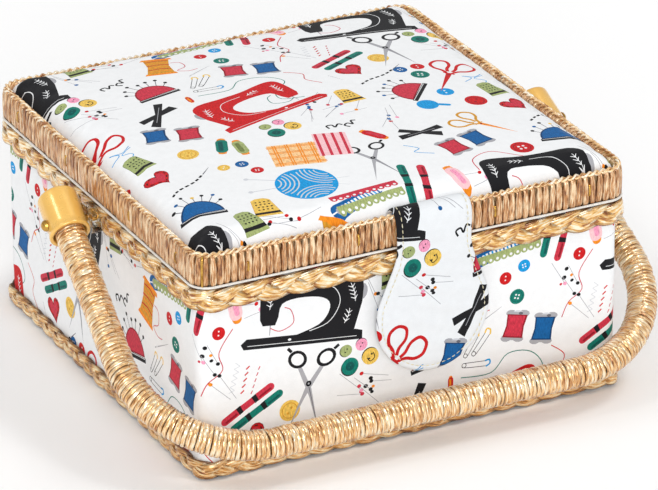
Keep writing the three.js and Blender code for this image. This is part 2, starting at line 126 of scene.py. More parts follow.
def add_floor():
    mesh = bpy.data.meshes.new("floor")
    corners = [(x * FLOOR_REACH, y * FLOOR_REACH, 0) for x, y in ((-1, -1), (1, -1), (1, 1), (-1, 1))]
    mesh.from_pydata(corners, [], [(0, 1, 2, 3)])
    floor = link("floor", mesh)
    floor.location.z = -FLOOR_DROP
    material = bpy.data.materials.new("floor")
    material.use_nodes = True
    shader = material.node_tree.nodes["Principled BSDF"]
    shader.inputs["Base Color"].default_value = FLOOR_COLOUR
    shader.inputs["Roughness"].default_value = FLOOR_ROUGHNESS
    mesh.materials.append(material)


# ---- Sizes from the frame, in millimetres ----------------------------------------------------------------
def size(node):
    low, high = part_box(node)
    return low / MM, high / MM


RIM_LOW, RIM_HIGH = size("lid_rim_wrap")
RIM_HALF = RIM_HIGH.x
COVER_LOW, COVER_HIGH = size("outer_cover")
BODY_HALF = COVER_HIGH.x
CORNER = 10  # corner radius of the lid's outer face
LID_EDGE = size("lid_cover")[1].x  # half width of the padded top
PIPING_LOW, PIPING_HIGH = size("lid_piping")
TOP_BRAID_LOW, TOP_BRAID_HIGH = size("top_braid")
FOOT_LOW, FOOT_HIGH = size("bottom_braid")
FLAP_LOW, FLAP_HIGH = size("flap_cloth")
FLAP_X = (FLAP_LOW.x + FLAP_HIGH.x) / 2
JOINTS = {joint["name"]: joint for joint in frame["joints"]}


# ---- Mesh helpers ----------------------------------------------------------------------------------------
def make_piece(name, points, faces, material, body, fields=None):
    """A mesh piece from points in millimetres. fields are named numbers or vectors, one for each point."""
    mesh = bpy.data.meshes.new(name)
    mesh.from_pydata((np.reshape(points, (-1, 3)) * MM).tolist(), [], np.asarray(faces).tolist())
    mesh.polygons.foreach_set("use_smooth", [True] * len(mesh.polygons))
    for field, values in (fields or {}).items():
        values = np.asarray(values, np.float32)
        kind, slot_name = ("FLOAT", "value") if values.ndim == 1 else ("FLOAT_VECTOR", "vector")
        mesh.attributes.new(field, kind, "POINT").data.foreach_set(slot_name, values.ravel())
    mesh.materials.append(material)
    mesh.update()
    piece = link(name, mesh)
    if body:
        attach(piece, body)
    return piece


def grid_faces(rows, columns, close_rows=False, close_columns=False, first=0):
    """Quads between the points of a rows by columns grid, numbered from first."""
    numbers = first + np.arange(rows * columns).reshape(rows, columns)
    if close_rows:
        numbers = np.vstack([numbers, numbers[:1]])
    if close_columns:
        numbers = np.hstack([numbers, numbers[:, :1]])
    quads = np.stack([numbers[:-1, :-1], numbers[1:, :-1], numbers[1:, 1:], numbers[:-1, 1:]], -1)
    return quads.reshape(-1, 4)


def unit(vectors):
    return vectors / np.linalg.norm(vectors, axis=-1, keepdims=True)


def headings(line):
    """Unit directions along an open line of points."""
    return unit(np.gradient(line, axis=0))


def closed_headings(line):
    """Unit directions along a closed line of points."""
    return unit(np.roll(line, -1, 0) - np.roll(line, 1, 0))


def lengths_along(line):
    """Length from the start of the line to each of its points."""
    return np.concatenate([[0], np.cumsum(np.linalg.norm(np.diff(line, axis=0), axis=1))])


def angles(sides):
    return np.arange(sides) * TAU / sides


def tube_rings(path, side, out, widths, depths, sides):
    """Points of a tube: round each point of the path, an ellipse of half widths and half depths."""
    angle = angles(sides)
    across = np.cos(angle)[None, :, None] * side[:, None, :] * np.asarray(widths).reshape(-1, 1, 1)
    depth = np.sin(angle)[None, :, None] * out[:, None, :] * np.asarray(depths).reshape(-1, 1, 1)
    return path[:, None, :] + across + depth


def perimeter(half, corner):
    return 4 * (2 * (half - corner) + math.pi / 2 * corner)


def around(s, half, corner):
    """Point and outward direction on a rounded square, s along it from the front's middle, rightwards."""
    side = 2 * (half - corner)
    quarter = side + math.pi / 2 * corner
    shifted = np.asarray(s, float) + side / 2
    turn = np.floor(shifted / quarter)
    rest = shifted - turn * quarter
    angle = np.maximum(0, rest - side) / corner
    along = np.minimum(rest, side) - side / 2 + corner * np.sin(angle)
    out = half - corner + corner * np.cos(angle)
    c, n = np.cos(turn * math.pi / 2), np.sin(turn * math.pi / 2)
    point = np.stack([along * c + out * n, along * n - out * c], -1)
    normal = np.stack([np.sin(angle) * c + np.cos(angle) * n, np.sin(angle) * n - np.cos(angle) * c], -1)
    return point, normal


UP = np.array([0.0, 0.0, 1.0])


def upwards(points):
    """The upward direction, once for each point."""
    return np.broadcast_to(UP, points.shape)


def flat_to_space(xy, z):
    return np.concatenate([xy, np.broadcast_to(np.asarray(z, float), xy.shape[:-1])[..., None]], -1)


def waves(count, low, high, seed):
    """A smooth random function of two coordinates: a few sine waves with wavelengths from low to high."""
    source = np.random.default_rng(seed)
    length = source.uniform(low, high, count)
    heading = source.uniform(0, TAU, count)
    phase = source.uniform(0, TAU, count)

    def value(x, y):
        total = 0
        for wavelength, turn, start in zip(length, heading, phase):
            total = total + np.sin((x * math.cos(turn) + y * math.sin(turn)) * TAU / wavelength + start)
        return total / math.sqrt(count)

    return value


class Bundle:
    """Strands that become one piece, each a grid of points: rows along the strand, columns round it."""

    def __init__(self):
        self.points, self.faces, self.lay = [], [], []

    def add(self, rings, lay=None, endless=False, tube=True, turned=False):
        """lay gives millimetres along the strand, -1 to 1 across it, and the strand's number."""
        first = sum(map(len, self.points))
        faces = grid_faces(*rings.shape[:2], endless, tube, first)
        self.faces.append(faces[:, ::-1] if turned else faces)
        self.points.append(rings.reshape(-1, 3))
        if lay:
            self.lay.append(np.stack(np.broadcast_arrays(*lay), -1).reshape(-1, 3))

    def make(self, name, material, body, slot, **fields):
        if self.lay:
            fields["lay"] = np.vstack(self.lay)
        return make_piece(name, np.vstack(self.points), np.vstack(self.faces), material, body, fields)


# ---- Materials -------------------------------------------------------------------------------------------
def srgb(r, g, b):
    """Linear colour from everyday 0 to 1 values."""
    return tuple(c / 12.92 if c <= 0.04045 else ((c + 0.055) / 1.055) ** 2.4 for c in (r, g, b))


class Shader:
    """A material whose nodes are added in short steps."""

    def __init__(self, name, **sockets):
        self.material = bpy.data.materials.new(name)
        self.material.use_nodes = True
        self.nodes = self.material.node_tree.nodes
        self.links = self.material.node_tree.links
        self.main = self.nodes["Principled BSDF"]
        for socket, value in sockets.items():
            self.main.inputs[socket.replace("_", " ")].default_value = value

    def add(self, kind, inputs=None, **settings):
        node = self.nodes.new(kind)
        for setting, value in settings.items():
            setattr(node, setting, value)
        for socket, value in (inputs or {}).items():
            if isinstance(value, bpy.types.NodeSocket):
                self.links.new(value, node.inputs[socket])
            else:
                node.inputs[socket].default_value = value
        return node

    def math(self, operation, a, b=0.0):
        return self.add("ShaderNodeMath", {0: a, 1: b}, operation=operation).outputs[0]

    def times(self, a, b):
        return self.math("MULTIPLY", a, b)

    def plus(self, a, b):
        return self.math("ADD", a, b)

    def field(self, name):
        """A named vector stored on the mesh."""
        return self.add("ShaderNodeAttribute", attribute_name=name).outputs["Vector"]

    def stretched(self, vector, scale):
        return self.add("ShaderNodeVectorMath", {0: vector, 1: scale}, operation="MULTIPLY").outputs[0]

    def noise(self, vector, scale, detail, rough=0.55):
        inputs = {"Vector": vector, "Scale": scale, "Detail": detail, "Roughness": rough}
        return self.add("ShaderNodeTexNoise", inputs).outputs["Fac"]

    def ramp(self, value, *stops):
        """Colours at positions; each stop is (position, linear colour)."""
        node = self.add("ShaderNodeValToRGB", {"Fac": value})
        ramp = node.color_ramp
        while len(ramp.elements) < len(stops):
            ramp.elements.new(0.5)
        for element, (position, colour) in zip(ramp.elements, stops):
            element.position = position
            element.color = (*colour, 1)
        return node.outputs["Color"]

    def mix(self, share, a, b, blend="MIX"):
        node = self.add("ShaderNodeMix", data_type="RGBA", blend_type=blend)
        for socket, value in ((node.inputs[0], share), (node.inputs[6], a), (node.inputs[7], b)):
            if isinstance(value, bpy.types.NodeSocket):
                self.links.new(value, socket)
            else:
                socket.default_value = value if isinstance(value, float) else (*value, 1)
        return node.outputs[2]

    def range(self, value, low, high, to_low, to_high):
        inputs = {0: value, 1: low, 2: high, 3: to_low, 4: to_high}
        return self.add("ShaderNodeMapRange", inputs).outputs[0]

    def bump(self, height, distance, strength=1.0, normal=None):
        node = self.add("ShaderNodeBump", {"Height": height, "Distance": distance, "Strength": strength})
        if normal is not None:
            self.links.new(normal, node.inputs["Normal"])
        return node.outputs["Normal"]

    def set(self, socket, value):
        self.links.new(value, self.main.inputs[socket])


def straw_material(name, dark, middle, light, roughness, fibre, metallic, coat, crinkle):
    """Straw laid in strands, its creases and fibres running along each strand.

    The field "lay" gives millimetres along the strand, -1 to 1 across it, and the strand's number. The field
    "sunk" is painted shade: it darkens the straw, from 0 to 1, where it dives under its neighbours."""
    s = Shader(
        name, Metallic=metallic, Specular_IOR_Level=0.8, Coat_Weight=coat, Coat_Roughness=0.16, Coat_IOR=1.6
    )
    lay = s.field("lay")
    parts = s.add("ShaderNodeSeparateXYZ", {0: lay})
    fibres = s.noise(s.stretched(lay, (0.16, 3.2 * fibre, 7.31)), 1.0, 4.0, 0.6)
    blotches = s.noise(s.stretched(lay, (0.07, 0.3, 3.17)), 1.0, 2.0)
    tone = s.plus(s.times(fibres, 0.75), s.times(blotches, 0.35))
    # the light colour is partly pale fibre and partly a painted highlight: near-white glints on the straw
    colour = s.ramp(tone, (0.44, dark), (0.54, middle), (0.64, light))
    # painted shade: the straw darkens towards each strand's edges, where it meets its neighbours
    edge = s.times(s.math("POWER", s.math("ABSOLUTE", parts.outputs[1]), 4.0), 0.7)
    # painted shade where the strand dives under its neighbours, read from the mesh and added to the edges'
    # painted shade
    sunk = s.add("ShaderNodeAttribute", attribute_name="sunk").outputs["Fac"]
    deep = s.math("MINIMUM", s.plus(edge, sunk), 0.9)
    colour = s.mix(deep, colour, tuple(c * 0.45 for c in dark))
    s.set("Base Color", colour)
    s.set("Roughness", s.range(fibres, 0.3, 0.7, roughness + 0.12, roughness - 0.08))
    creases = s.noise(s.stretched(lay, (0.45, 0.9, 5.77)), 1.0, 2.0, 0.6)
    s.set("Normal", s.bump(fibres, 0.00008, 0.8, s.bump(creases, 0.0003 * crinkle)))
    return s.material


def weave_height(s, flat, pitch=0.42):
    """Plain weave: two crossed sets of threads, as a height from 0 to 1. flat is in millimetres."""
    parts = s.add("ShaderNodeSeparateXYZ", {0: flat})
    turn = TAU / (2 * pitch)
    across = s.math("SINE", s.times(parts.outputs[0], turn))
    along = s.math("SINE", s.times(parts.outputs[1], turn))
    return s.math("ABSOLUTE", s.times(across, along))


def print_material():
    """White cotton with a print. The colour of each face is stored on the mesh as "ink"."""
    s = Shader("printed_cotton", Roughness=0.8, Sheen_Weight=0.06, Specular_IOR_Level=0.2)
    flat = s.field("flat")
    ink = s.add("ShaderNodeAttribute", attribute_name="ink").outputs["Color"]
    wash = s.noise(s.stretched(flat, (0.22, 0.22, 1.0)), 1.0, 4.0, 0.6)
    grain = s.noise(s.stretched(flat, (2.4, 2.4, 1.0)), 1.0, 2.0)
    tone = s.plus(s.range(wash, 0.3, 0.7, 0.97, 1.02), s.range(grain, 0.3, 0.7, -0.03, 0.03))
    strength = s.add("ShaderNodeSeparateColor", {0: ink}, mode="HSV").outputs[1]
    painted = s.noise(s.stretched(flat, (1.5, 0.45, 1.0)), 1.0, 3.0, 0.6)
    brushed = s.times(s.range(strength, 0.2, 0.6, 0, 1), s.range(painted, 0.35, 0.65, -0.26, 0.20))
    tone = s.plus(tone, brushed)
    shade = s.add("ShaderNodeCombineColor", {0: tone, 1: tone, 2: tone}).outputs[0]
    s.set("Base Color", s.mix(1.0, ink, shade, "MULTIPLY"))
    weave = weave_height(s, flat)
    soft = s.noise(s.stretched(flat, (0.6, 0.6, 1.0)), 1.0, 3.0)
    height = s.plus(s.times(weave, 0.3), soft)
    s.set("Normal", s.bump(height, 0.00007, 0.8))
    return s.material


def cloth_material(name, colour, shadow, roughness, sheen, pitch=0.5, depth=0.0002):
    """Plain cloth for linings and cushions, in object space."""
    s = Shader(name, Roughness=roughness, Sheen_Weight=sheen)
    place = s.add("ShaderNodeTexCoord").outputs["Object"]
    flat = s.stretched(place, (1000, 1000, 1000))
    parts = s.add("ShaderNodeSeparateXYZ", {0: flat})
    up = s.math("SINE", s.times(parts.outputs[2], TAU / (2 * pitch)))
    both = s.plus(s.math("ABSOLUTE", up), weave_height(s, flat, pitch))
    mottle = s.noise(flat, 0.3, 4.0)
    s.set("Base Color", s.ramp(mottle, (0.35, shadow), (0.65, colour)))
    s.set("Roughness", s.range(mottle, 0.3, 0.7, roughness + 0.08, roughness - 0.08))
    s.set("Normal", s.bump(both, depth, 0.6))
    return s.material


def plastic_material(name, colour, worn, roughness, scratches, **sockets):
    s = Shader(name, Roughness=roughness, **sockets)
    place = s.add("ShaderNodeTexCoord").outputs["Object"]
    cloud = s.noise(place, 60.0, 4.0)
    fine = s.noise(place, 900.0, 3.0)
    s.set("Base Color", s.ramp(cloud, (0.35, worn), (0.6, colour)))
    s.set("Roughness", s.range(cloud, 0.3, 0.7, roughness + 0.09, roughness - 0.05))
    s.set("Normal", s.bump(fine, 0.00006, scratches))
    return s.material


def metal_material(name, colour, dark, roughness):
    s = Shader(name, Roughness=roughness, Metallic=1.0)
    place = s.add("ShaderNodeTexCoord").outputs["Object"]
    brushed = s.noise(s.stretched(place, (300, 4000, 4000)), 1.0, 3.0)
    tarnish = s.noise(place, 220.0, 3.0)
    s.set("Base Color", s.ramp(tarnish, (0.3, dark), (0.6, colour)))
    s.set("Roughness", s.range(brushed, 0.3, 0.7, roughness + 0.1, roughness - 0.05))
    s.set("Normal", s.bump(brushed, 0.00003, 0.5))
    return s.material


def board_material(name, colour, dark):
    s = Shader(name, Roughness=0.85)
    place = s.add("ShaderNodeTexCoord").outputs["Object"]
    fibres = s.noise(place, 500.0, 5.0, 0.7)
    s.set("Base Color", s.ramp(fibres, (0.35, dark), (0.65, colour)))
    s.set("Normal", s.bump(fibres, 0.0003, 0.6))
    return s.material


STRAWS = {  # dark, middle and light colour (the light one partly a painted highlight), roughness, fineness of the fibres, metallic, coat, crinkle
    "paper_rush": (
        srgb(0.44, 0.23, 0.06), srgb(0.82, 0.56, 0.30), srgb(1.0, 0.90, 0.74), 0.30, 1.6, 0.35, 0.4, 1.0,
    ),
    "edge_rope": (
        srgb(0.60, 0.34, 0.10), srgb(0.96, 0.79, 0.54), srgb(1.0, 0.97, 0.90), 0.28, 1.2, 0.30, 0.4, 0.6,
    ),
    "plaited_straw": (
        srgb(0.60, 0.31, 0.05), srgb(0.94, 0.73, 0.38), srgb(1.0, 0.96, 0.84), 0.22, 1.1, 0.45, 0.6, 0.8,
    ),
    "foot_straw": (
        srgb(0.46, 0.24, 0.04), srgb(0.87, 0.63, 0.31), srgb(1.0, 0.92, 0.74), 0.26, 1.1, 0.40, 0.4, 0.8,
    ),
    "wound_straw": (
        srgb(0.62, 0.34, 0.08), srgb(1.0, 0.79, 0.49), srgb(1.0, 0.98, 0.88), 0.17, 1.4, 0.55, 0.6, 1.3,
    ),
}
RUSH, ROPE, PLAIT, FOOT, WINDING = (straw_material(name, *look) for name, look in STRAWS.items())
PRINT = print_material()
LINING = cloth_material("lining_satin", srgb(0.95, 0.93, 0.89), srgb(0.93, 0.905, 0.855), 0.5, 0.3)
PIPING = cloth_material("piping_cotton", srgb(0.97, 0.96, 0.94), srgb(0.92, 0.90, 0.86), 0.7, 0.2)
CUSHION = cloth_material("pincushion_cotton", srgb(0.78, 0.10, 0.16), srgb(0.62, 0.05, 0.10), 0.8, 0.4)
POCKET = cloth_material("pocket_cotton", srgb(0.84, 0.79, 0.70), srgb(0.78, 0.72, 0.62), 0.75, 0.3)
FELT = cloth_material("felt", srgb(0.16, 0.15, 0.15), srgb(0.09, 0.09, 0.09), 0.95, 0.5, 0.9, 0.0004)
THREAD = cloth_material("stitching", srgb(0.95, 0.92, 0.80), srgb(0.88, 0.83, 0.66), 0.6, 0.3, 0.3)
GOLD = plastic_material(
    "gold_plastic", srgb(0.96, 0.77, 0.40), srgb(0.92, 0.71, 0.32), 0.26, 0.4, Metallic=0.15, Coat_Weight=0.7
)
CLEAR = plastic_material(
    "clear_plastic", srgb(0.97, 0.97, 0.95), srgb(0.92, 0.92, 0.90), 0.10, 0.8,
    Transmission_Weight=1.0, IOR=1.49,
)
TRAY = plastic_material("tray_plastic", srgb(0.95, 0.94, 0.91), srgb(0.92, 0.90, 0.86), 0.38, 1.0)
BRASS = metal_material("brass", srgb(0.86, 0.68, 0.34), srgb(0.62, 0.44, 0.18), 0.25)
STEEL = metal_material("steel", srgb(0.80, 0.80, 0.81), srgb(0.60, 0.60, 0.62), 0.3)
BOARD = board_material("fibreboard", srgb(0.72, 0.60, 0.44), srgb(0.56, 0.44, 0.30))

# ---- The print: inks, shapes and motifs, in millimetres --------------------------------------------------
INKS = {
    "cloth": srgb(0.945, 0.95, 0.955), "black": srgb(0.085, 0.085, 0.10), "red": srgb(0.80, 0.08, 0.10),
    "rose": srgb(0.80, 0.20, 0.28), "dark_rose": srgb(0.58, 0.08, 0.15), "teal": srgb(0.02, 0.48, 0.42),
    "dark_teal": srgb(0.01, 0.33, 0.32), "blue": srgb(0.05, 0.37, 0.62), "navy": srgb(0.03, 0.24, 0.42),
    "sky": srgb(0.05, 0.60, 0.86), "yellow": srgb(0.93, 0.77, 0.36), "amber": srgb(0.84, 0.60, 0.18),
    "pink": srgb(0.96, 0.62, 0.74), "blush": srgb(0.97, 0.78, 0.80), "olive": srgb(0.64, 0.69, 0.45),
    "moss": srgb(0.45, 0.50, 0.28), "orange": srgb(0.95, 0.56, 0.12), "peach": srgb(0.98, 0.80, 0.58),
    "grey": srgb(0.66, 0.66, 0.68), "dark_grey": srgb(0.40, 0.40, 0.43), "pale": srgb(0.82, 0.83, 0.85),
}


def blob(ink, x, y, r, squash=1.0, sides=16, turn=0.0):
    """A filled circle, or an ellipse if squashed."""
    c, n = math.cos(turn), math.sin(turn)
    points = []
    for i in range(sides):
        a, b = r * math.cos(TAU * i / sides), r * squash * math.sin(TAU * i / sides)
        points.append((x + a * c - b * n, y + a * n + b * c))
    return [(ink, points)]


def shape(ink, *points):
    return [(ink, list(points))]


def bend(points, steps=5):
    """A smooth line through the points."""
    padded = [points[0], *points, points[-1]]
    line = []
    for a, b, c, d in zip(padded, padded[1:], padded[2:], padded[3:]):
        for i in range(steps):
            t = i / steps
            line.append(tuple(
                0.5 * (
                    2 * q + (r - p) * t
                    + (2 * p - 5 * q + 4 * r - s) * t * t
                    + (3 * q - p - 3 * r + s) * t ** 3
                )
                for p, q, r, s in zip(a, b, c, d)
            ))
    return line + [points[-1]]


def signed_area(*loop):
    return sum(a[0] * b[1] - b[0] * a[1] for a, b in zip(loop, loop[1:] + loop[:1])) / 2


def patches(ink, a, b, c, d):
    """A four-sided shape, as two triangles where a tight bend folds it over."""
    turns = [signed_area(*three) for three in ((a, b, c), (b, c, d), (c, d, a), (d, a, b))]
    if min(turns) > 0 or max(turns) < 0:
        return [(ink, [a, b, c, d])]
    return [(ink, list(three)) for three in ((a, b, c), (a, c, d)) if abs(signed_area(*three)) > 0.01]


def stroke(ink, points, width, end_width=None):
    """A drawn line, as one four-sided shape for each stretch. It can narrow towards its end."""
    points = np.asarray(points, float)
    step = np.gradient(points, axis=0)
    step /= np.maximum(np.linalg.norm(step, axis=1, keepdims=True), 1e-9)
    widths = np.linspace(width, width if end_width is None else end_width, len(points))[:, None] / 2
    side = np.stack([-step[:, 1], step[:, 0]], 1) * widths
    left, right = points + side, points - side
    corners = [(left[i], left[i + 1], right[i + 1], right[i]) for i in range(len(points) - 1)]
    return [patch for four in corners for patch in patches(ink, *map(tuple, four))]


def ring(ink, x, y, r, width, squash=1.0, turn=0.0):
    return blob(ink, x, y, r, squash, 18, turn) + blob("cloth", x, y, r - width, squash, 16, turn)


def capsule(ink, length, width):
    """A bar with round ends, centred, along x."""
    r = width / 2
    sides = 7
    points = []
    for end in (1, -1):
        for i in range(sides):
            a = -math.pi / 2 + math.pi * i / (sides - 1)
            points.append((end * (length / 2 - r + r * math.cos(a)), end * r * math.sin(a)))
    return [(ink, points)]


def moved(shapes, x, y=0.0, turn=0.0, scale=1.0):
    """The shapes turned by an angle in degrees, scaled, and put at x, y."""
    c, n = math.cos(math.radians(turn)) * scale, math.sin(math.radians(turn)) * scale
    return [(ink, [(x + a * c - b * n, y + a * n + b * c) for a, b in points]) for ink, points in shapes]


def mirrored(shapes):
    return [(ink, [(-x, y) for x, y in points]) for ink, points in shapes]


def button(ink, r, holes=4, hole_ink="cloth", rim=None):
    found = blob(ink, 0, 0, r, 1, 20)
    if rim:
        found += blob(rim, 0, 0, r * 0.76, 1, 18) + blob(ink, 0, 0, r * 0.68, 1, 18)
    for i in range(holes):
        a = TAU * (i + 0.3) / holes
        found += blob(hole_ink, r * 0.30 * math.cos(a), r * 0.30 * math.sin(a), r * 0.13, 1, 7)
    return found


def shaded_button(ink, r, holes=2, turn=200):
    """A button on its own shadow, which shows on the side that turn gives in degrees."""
    a = math.radians(turn)
    edge = blob("black", r * 0.14 * math.cos(a), r * 0.14 * math.sin(a), r, 1, 20)
    return edge + button(ink, r, holes, "black")


def button_cluster():
    found = moved(shaded_button("olive", 3.4), -9, 4.6)
    found += moved(shaded_button("pink", 3.4, 2, 100), 0, 5.6)
    found += moved(shaded_button("teal", 5.0, 2, 230), -7.4, -5)
    found += moved(button("dark_teal", 2.6, 2, "teal"), -7.4, -5)
    found += moved(shaded_button("yellow", 4.8, 2, 120), 4.6, -2.6)
    return found + stroke("black", bend([(2.6, -3), (4.4, -5.4), (7, -3.6), (6.2, -0.6)], 4), 0.5)


def bobbin(ink, shade):
    found = blob("grey", -4, 7.2, 3.2, 0.6, 10) + blob("grey", 3.6, 7.4, 3.6, 0.55, 10)
    found += blob("pale", 0, 7.6, 3, 0.5, 9)
    found += blob("grey", -3.8, -7.2, 3.2, 0.6, 10) + blob("grey", 3.8, -7.2, 3.2, 0.55, 10)
    for y in (6, -8):
        found += shape("grey", (-6.4, y), (6.4, y), (6.6, y + 2), (-6.6, y + 2))
    found += blob("dark_grey", 1.8, 7.4, 1.4, 0.6, 8)
    found += shape(shade, (-6.2, 6.6), (-5.4, 0), (-6.2, -6.6), (6.2, -6.6), (5.4, 0), (6.2, 6.6))
    return found + shape(ink, (-5.2, 6.0), (-4.5, 0), (-5.2, -5.8), (5.0, -5.8), (4.5, 0), (5.0, 6.0))


def spool():
    found = shape("orange", (-9, 10), (-7.5, 12.5), (8, 12.5), (9, 10))
    found += shape("orange", (-9, -12.5), (9, -12.5), (8, -10), (-8, -10))
    found += shape("amber", (-7, 10), (-5.8, 0), (-7.4, -10), (7.4, -10), (5.8, 0), (7, 10))
    for i in range(6):
        y = -8 + i * 3.2
        found += stroke("red" if i % 2 else "orange", [(-6.2, y), (0, y + 1.4), (6.2, y + 0.4)], 0.9)
    return found + stroke("rose", bend([(7, 4), (12, 3), (14, -4), (9, -9), (15, -11), (20, -9)]), 0.5)


def scissors():
    found = []
    for side in (-1, 1):
        arm = [(7.5, 9), (5.5, 10), (-1.8, -2.5), (-9.5, -28), (-1.5, -8)]
        found += shape("grey", *[(side * x, y) for x, y in arm])
        found += ring("black", side * 8.4, 14.2, 5.8, 1.9, 0.84, side * 0.5)
        found += stroke("black", [(side * 12.4, 18.6), (side * 14.9, 20.8)], 1.7)
    found += stroke("dark_grey", [(0.4, -2), (7.5, -22)], 0.5, 0.2)
    return found + blob("black", 0, 0, 1.7, 1, 9) + blob("grey", 0, 0, 0.6, 1, 6)


def snips(ink, blade):
    loop = [
        (1.2, 2), (4.4, 6), (9.4, 8.4), (12.4, 13), (10.4, 18.6), (5.2, 19.6), (2.2, 15), (2.4, 9), (1.2, 5),
    ]
    found = []
    for side in (-1, 1):
        found += stroke(ink, bend([(side * x, y) for x, y in loop], 4), 1.9)
    found += shape(blade, (-1.7, 3), (1.7, 3), (1.5, -4), (0.3, -25), (-1.2, -5))
    return found + stroke(ink, [(-3.4, 3), (3.4, 1.4)], 1.0) + blob("dark_rose", 0, 0.6, 0.9, 1, 7)


def heart():
    count, size = 26, 0.52
    outline = []
    for i in range(count):
        a = TAU * i / count
        y = 13 * math.cos(a) - 5 * math.cos(2 * a) - 2 * math.cos(3 * a) - math.cos(4 * a)
        outline.append((size * 16 * math.sin(a) ** 3, size * y))
    found = [("dark_rose", outline)]
    found += [("red", [(x * 0.93, y * 0.93) for x, y in outline])]
    found += [("rose", [(x * 0.66, y * 0.66) for x, y in outline])]
    for i in range(0, count, 2):
        (a, b), (c, d) = outline[i], outline[(i + 1) % count]
        found += stroke("black", [(a * 0.80, b * 0.80), (c * 0.80, d * 0.80)], 0.7)
    return found


def pincushion(ink, shade, heads):
    dome = [(12 * math.cos(math.pi * i / 14), -4 + 14 * math.sin(math.pi * i / 14)) for i in range(15)]
    found = []
    for i in range(7):
        a = math.radians(38 + 17.5 * i)
        reach = 16.5 + 2.6 * ((i * 5) % 3) / 2
        tip = (reach * math.cos(a), -4 + reach * math.sin(a) * 1.12)
        found += stroke("dark_grey", [(8.5 * math.cos(a), -4 + 9.5 * math.sin(a)), tip], 0.45)
        found += blob(heads[i % len(heads)], *tip, 1.15, 1, 8)
    found += [(shade, dome)] + [(ink, [(x * 0.9, (y + 4) * 0.88 - 3.2) for x, y in dome])]
    found += shape("black", (-13, -6.6), (12.6, -7.2), (12.8, -4.4), (-12.8, -3.8))
    return found + stroke("cloth", [(-12, -4.4), (12, -5)], 0.35)


def sprig(x, y, turn, leaves):
    """A small leafy ornament."""
    found = stroke("cloth", bend([(0, -leaves * 1.4), (0.7, 0), (0, leaves * 1.4)], 3), 0.35)
    for i in range(leaves):
        low = i * 2.3 - leaves
        for side in (-1, 1):
            found += stroke("cloth", [(0.3, low), (side * 1.9, low + 1.6)], 0.6, 0.25)
    return moved(found, x, y, turn)


def machine(ink, thread="rose"):
    """A sewing machine, needle at the left."""
    found = blob("grey", 31, 8, 3.4, 1.4, 12)
    found += shape("grey", (-20.6, -5), (-19.6, -5), (-19.8, -12), (-20.2, -12))
    back = [
        (32, 2), (31, 15), (24, 20), (10, 18.4), (-4, 17.6), (-16, 18.8), (-24, 18.4), (-27.6, 14), (-27, 2),
    ]
    head = [(-26.4, -3), (-24.5, -6.5), (-17.4, -6.5)]
    opening = [(-16, -2), (-14.6, 5), (-6, 7.6), (6, 7.2), (12.6, 4), (13, -2), (8, -8.4), (-5, -13.3)]
    found += shape(ink, *bend(back, 3), *head, *bend(opening, 3), (29, -13.5))
    found += shape(ink, (-36, -16), (-33, -13), (30, -13), (34, -14), (34.5, -19), (-34, -19))
    found += stroke("cloth", [(-32, -17), (31, -17)], 0.3)
    found += stroke("cloth", bend([(3, -11.6), (13, -8), (18, -1), (18.6, 6), (13, 12.4), (0, 13.2)], 4), 0.4)
    for x, y, turn, leaves in ((26, 8, 20, 4), (24, -5, -15, 3), (-22, 8, 5, 4), (-8, 12.5, 80, 3)):
        found += sprig(x, y, turn, leaves)
    found += blob("cloth", -8, -15.4, 1.0, 0.7, 8)
    return found + stroke(thread, bend([(-20, -8), (-14, -10), (-7, -6), (-9, 1), (-13, 3)]), 0.5)


def skein(ink, shade):
    found = []
    for x, length, width in ((-10.4, 13.5, 4.4), (0, 13, 4.0), (10.4, 13.5, 4.6)):
        found += moved(capsule(ink, length, width), x)
    found += moved(capsule(shade, 8, 1.2), -11, -0.8) + moved(capsule(shade, 8, 1.2), 11, -0.8)
    for x in (-5, 5):
        found += shape("black", (x - 1.5, 2.1), (x + 1.4, 2.3), (x + 1.2, -2.1), (x - 1.3, -2.3))
    return found


def thimble(ink, shade):
    found = shape(shade, (-6.6, -8), (6.6, -8), (4.6, 7.4), (-4.6, 7.4))
    found += shape(ink, (-5.9, -4.4), (5.9, -4.4), (4.3, 7.8), (2, 9.2), (-2, 9.2), (-4.3, 7.8))
    found += shape(ink, (-6.9, -8.4), (6.9, -8.4), (6.6, -6.6), (-6.6, -6.6))
    for row in range(4):
        for i in range(4):
            found += blob("black", -3.1 + i * 2.1 + (row % 2) * 0.5, -1.8 + row * 2.5, 0.6, 1, 6)
    return found + shape("black", (-6.5, -6.4), (6.5, -6.4), (6.0, -4.4), (-6.0, -4.4))


def safety_pin(cap):
    found = stroke("black", bend([(-9, 1.6), (-11, 0), (-9, -1.8), (8, -2.2)], 4), 0.5)
    found += stroke("black", [(-9, 1.6), (8, 1.8)], 0.5) + ring("black", -9.6, 0, 1.9, 0.5)
    return found + stroke(cap, bend([(7, 1.8), (10.4, 2.4), (11, -0.6), (8, -2.6)], 4), 1.3)


def ribbons():
    first = shape("black", (-14, -2.4), (-13, 2.6), (0, 1.2), (13, 3.0), (14, -1.6), (0, -2.0))
    second = shape("black", (-12, -2.0), (-11.4, 2.2), (0, 1.6), (11, 2.8), (12, -2.4), (0, -1.8))
    return moved(first, 0, 0, 62) + moved(second, 0, 0, 22) + stroke("grey", [(-4, -7.5), (4.4, 8)], 0.3)


PIN_HEADS = ("black", "rose", "orange", "red", "blue", "pink")
PIN_SPREAD = 14


def pins(seed, count):
    """Loose dressmaker's pins with coloured heads."""
    source = random.Random(seed)
    found = []
    for i in range(count):
        x, y = source.uniform(-PIN_SPREAD, PIN_SPREAD) / 2, source.uniform(-PIN_SPREAD, PIN_SPREAD) / 2
        a = source.uniform(0.4, 1.3) + (math.pi if i % 2 else 0)
        length = source.uniform(12, 18)
        found += stroke("grey", [(x, y), (x + length * math.cos(a), y - length * math.sin(a))], 0.32)
        head = PIN_HEADS[source.randrange(len(PIN_HEADS))]
        found += blob(head, x, y, 1.25, 0.85, 9)
    return found


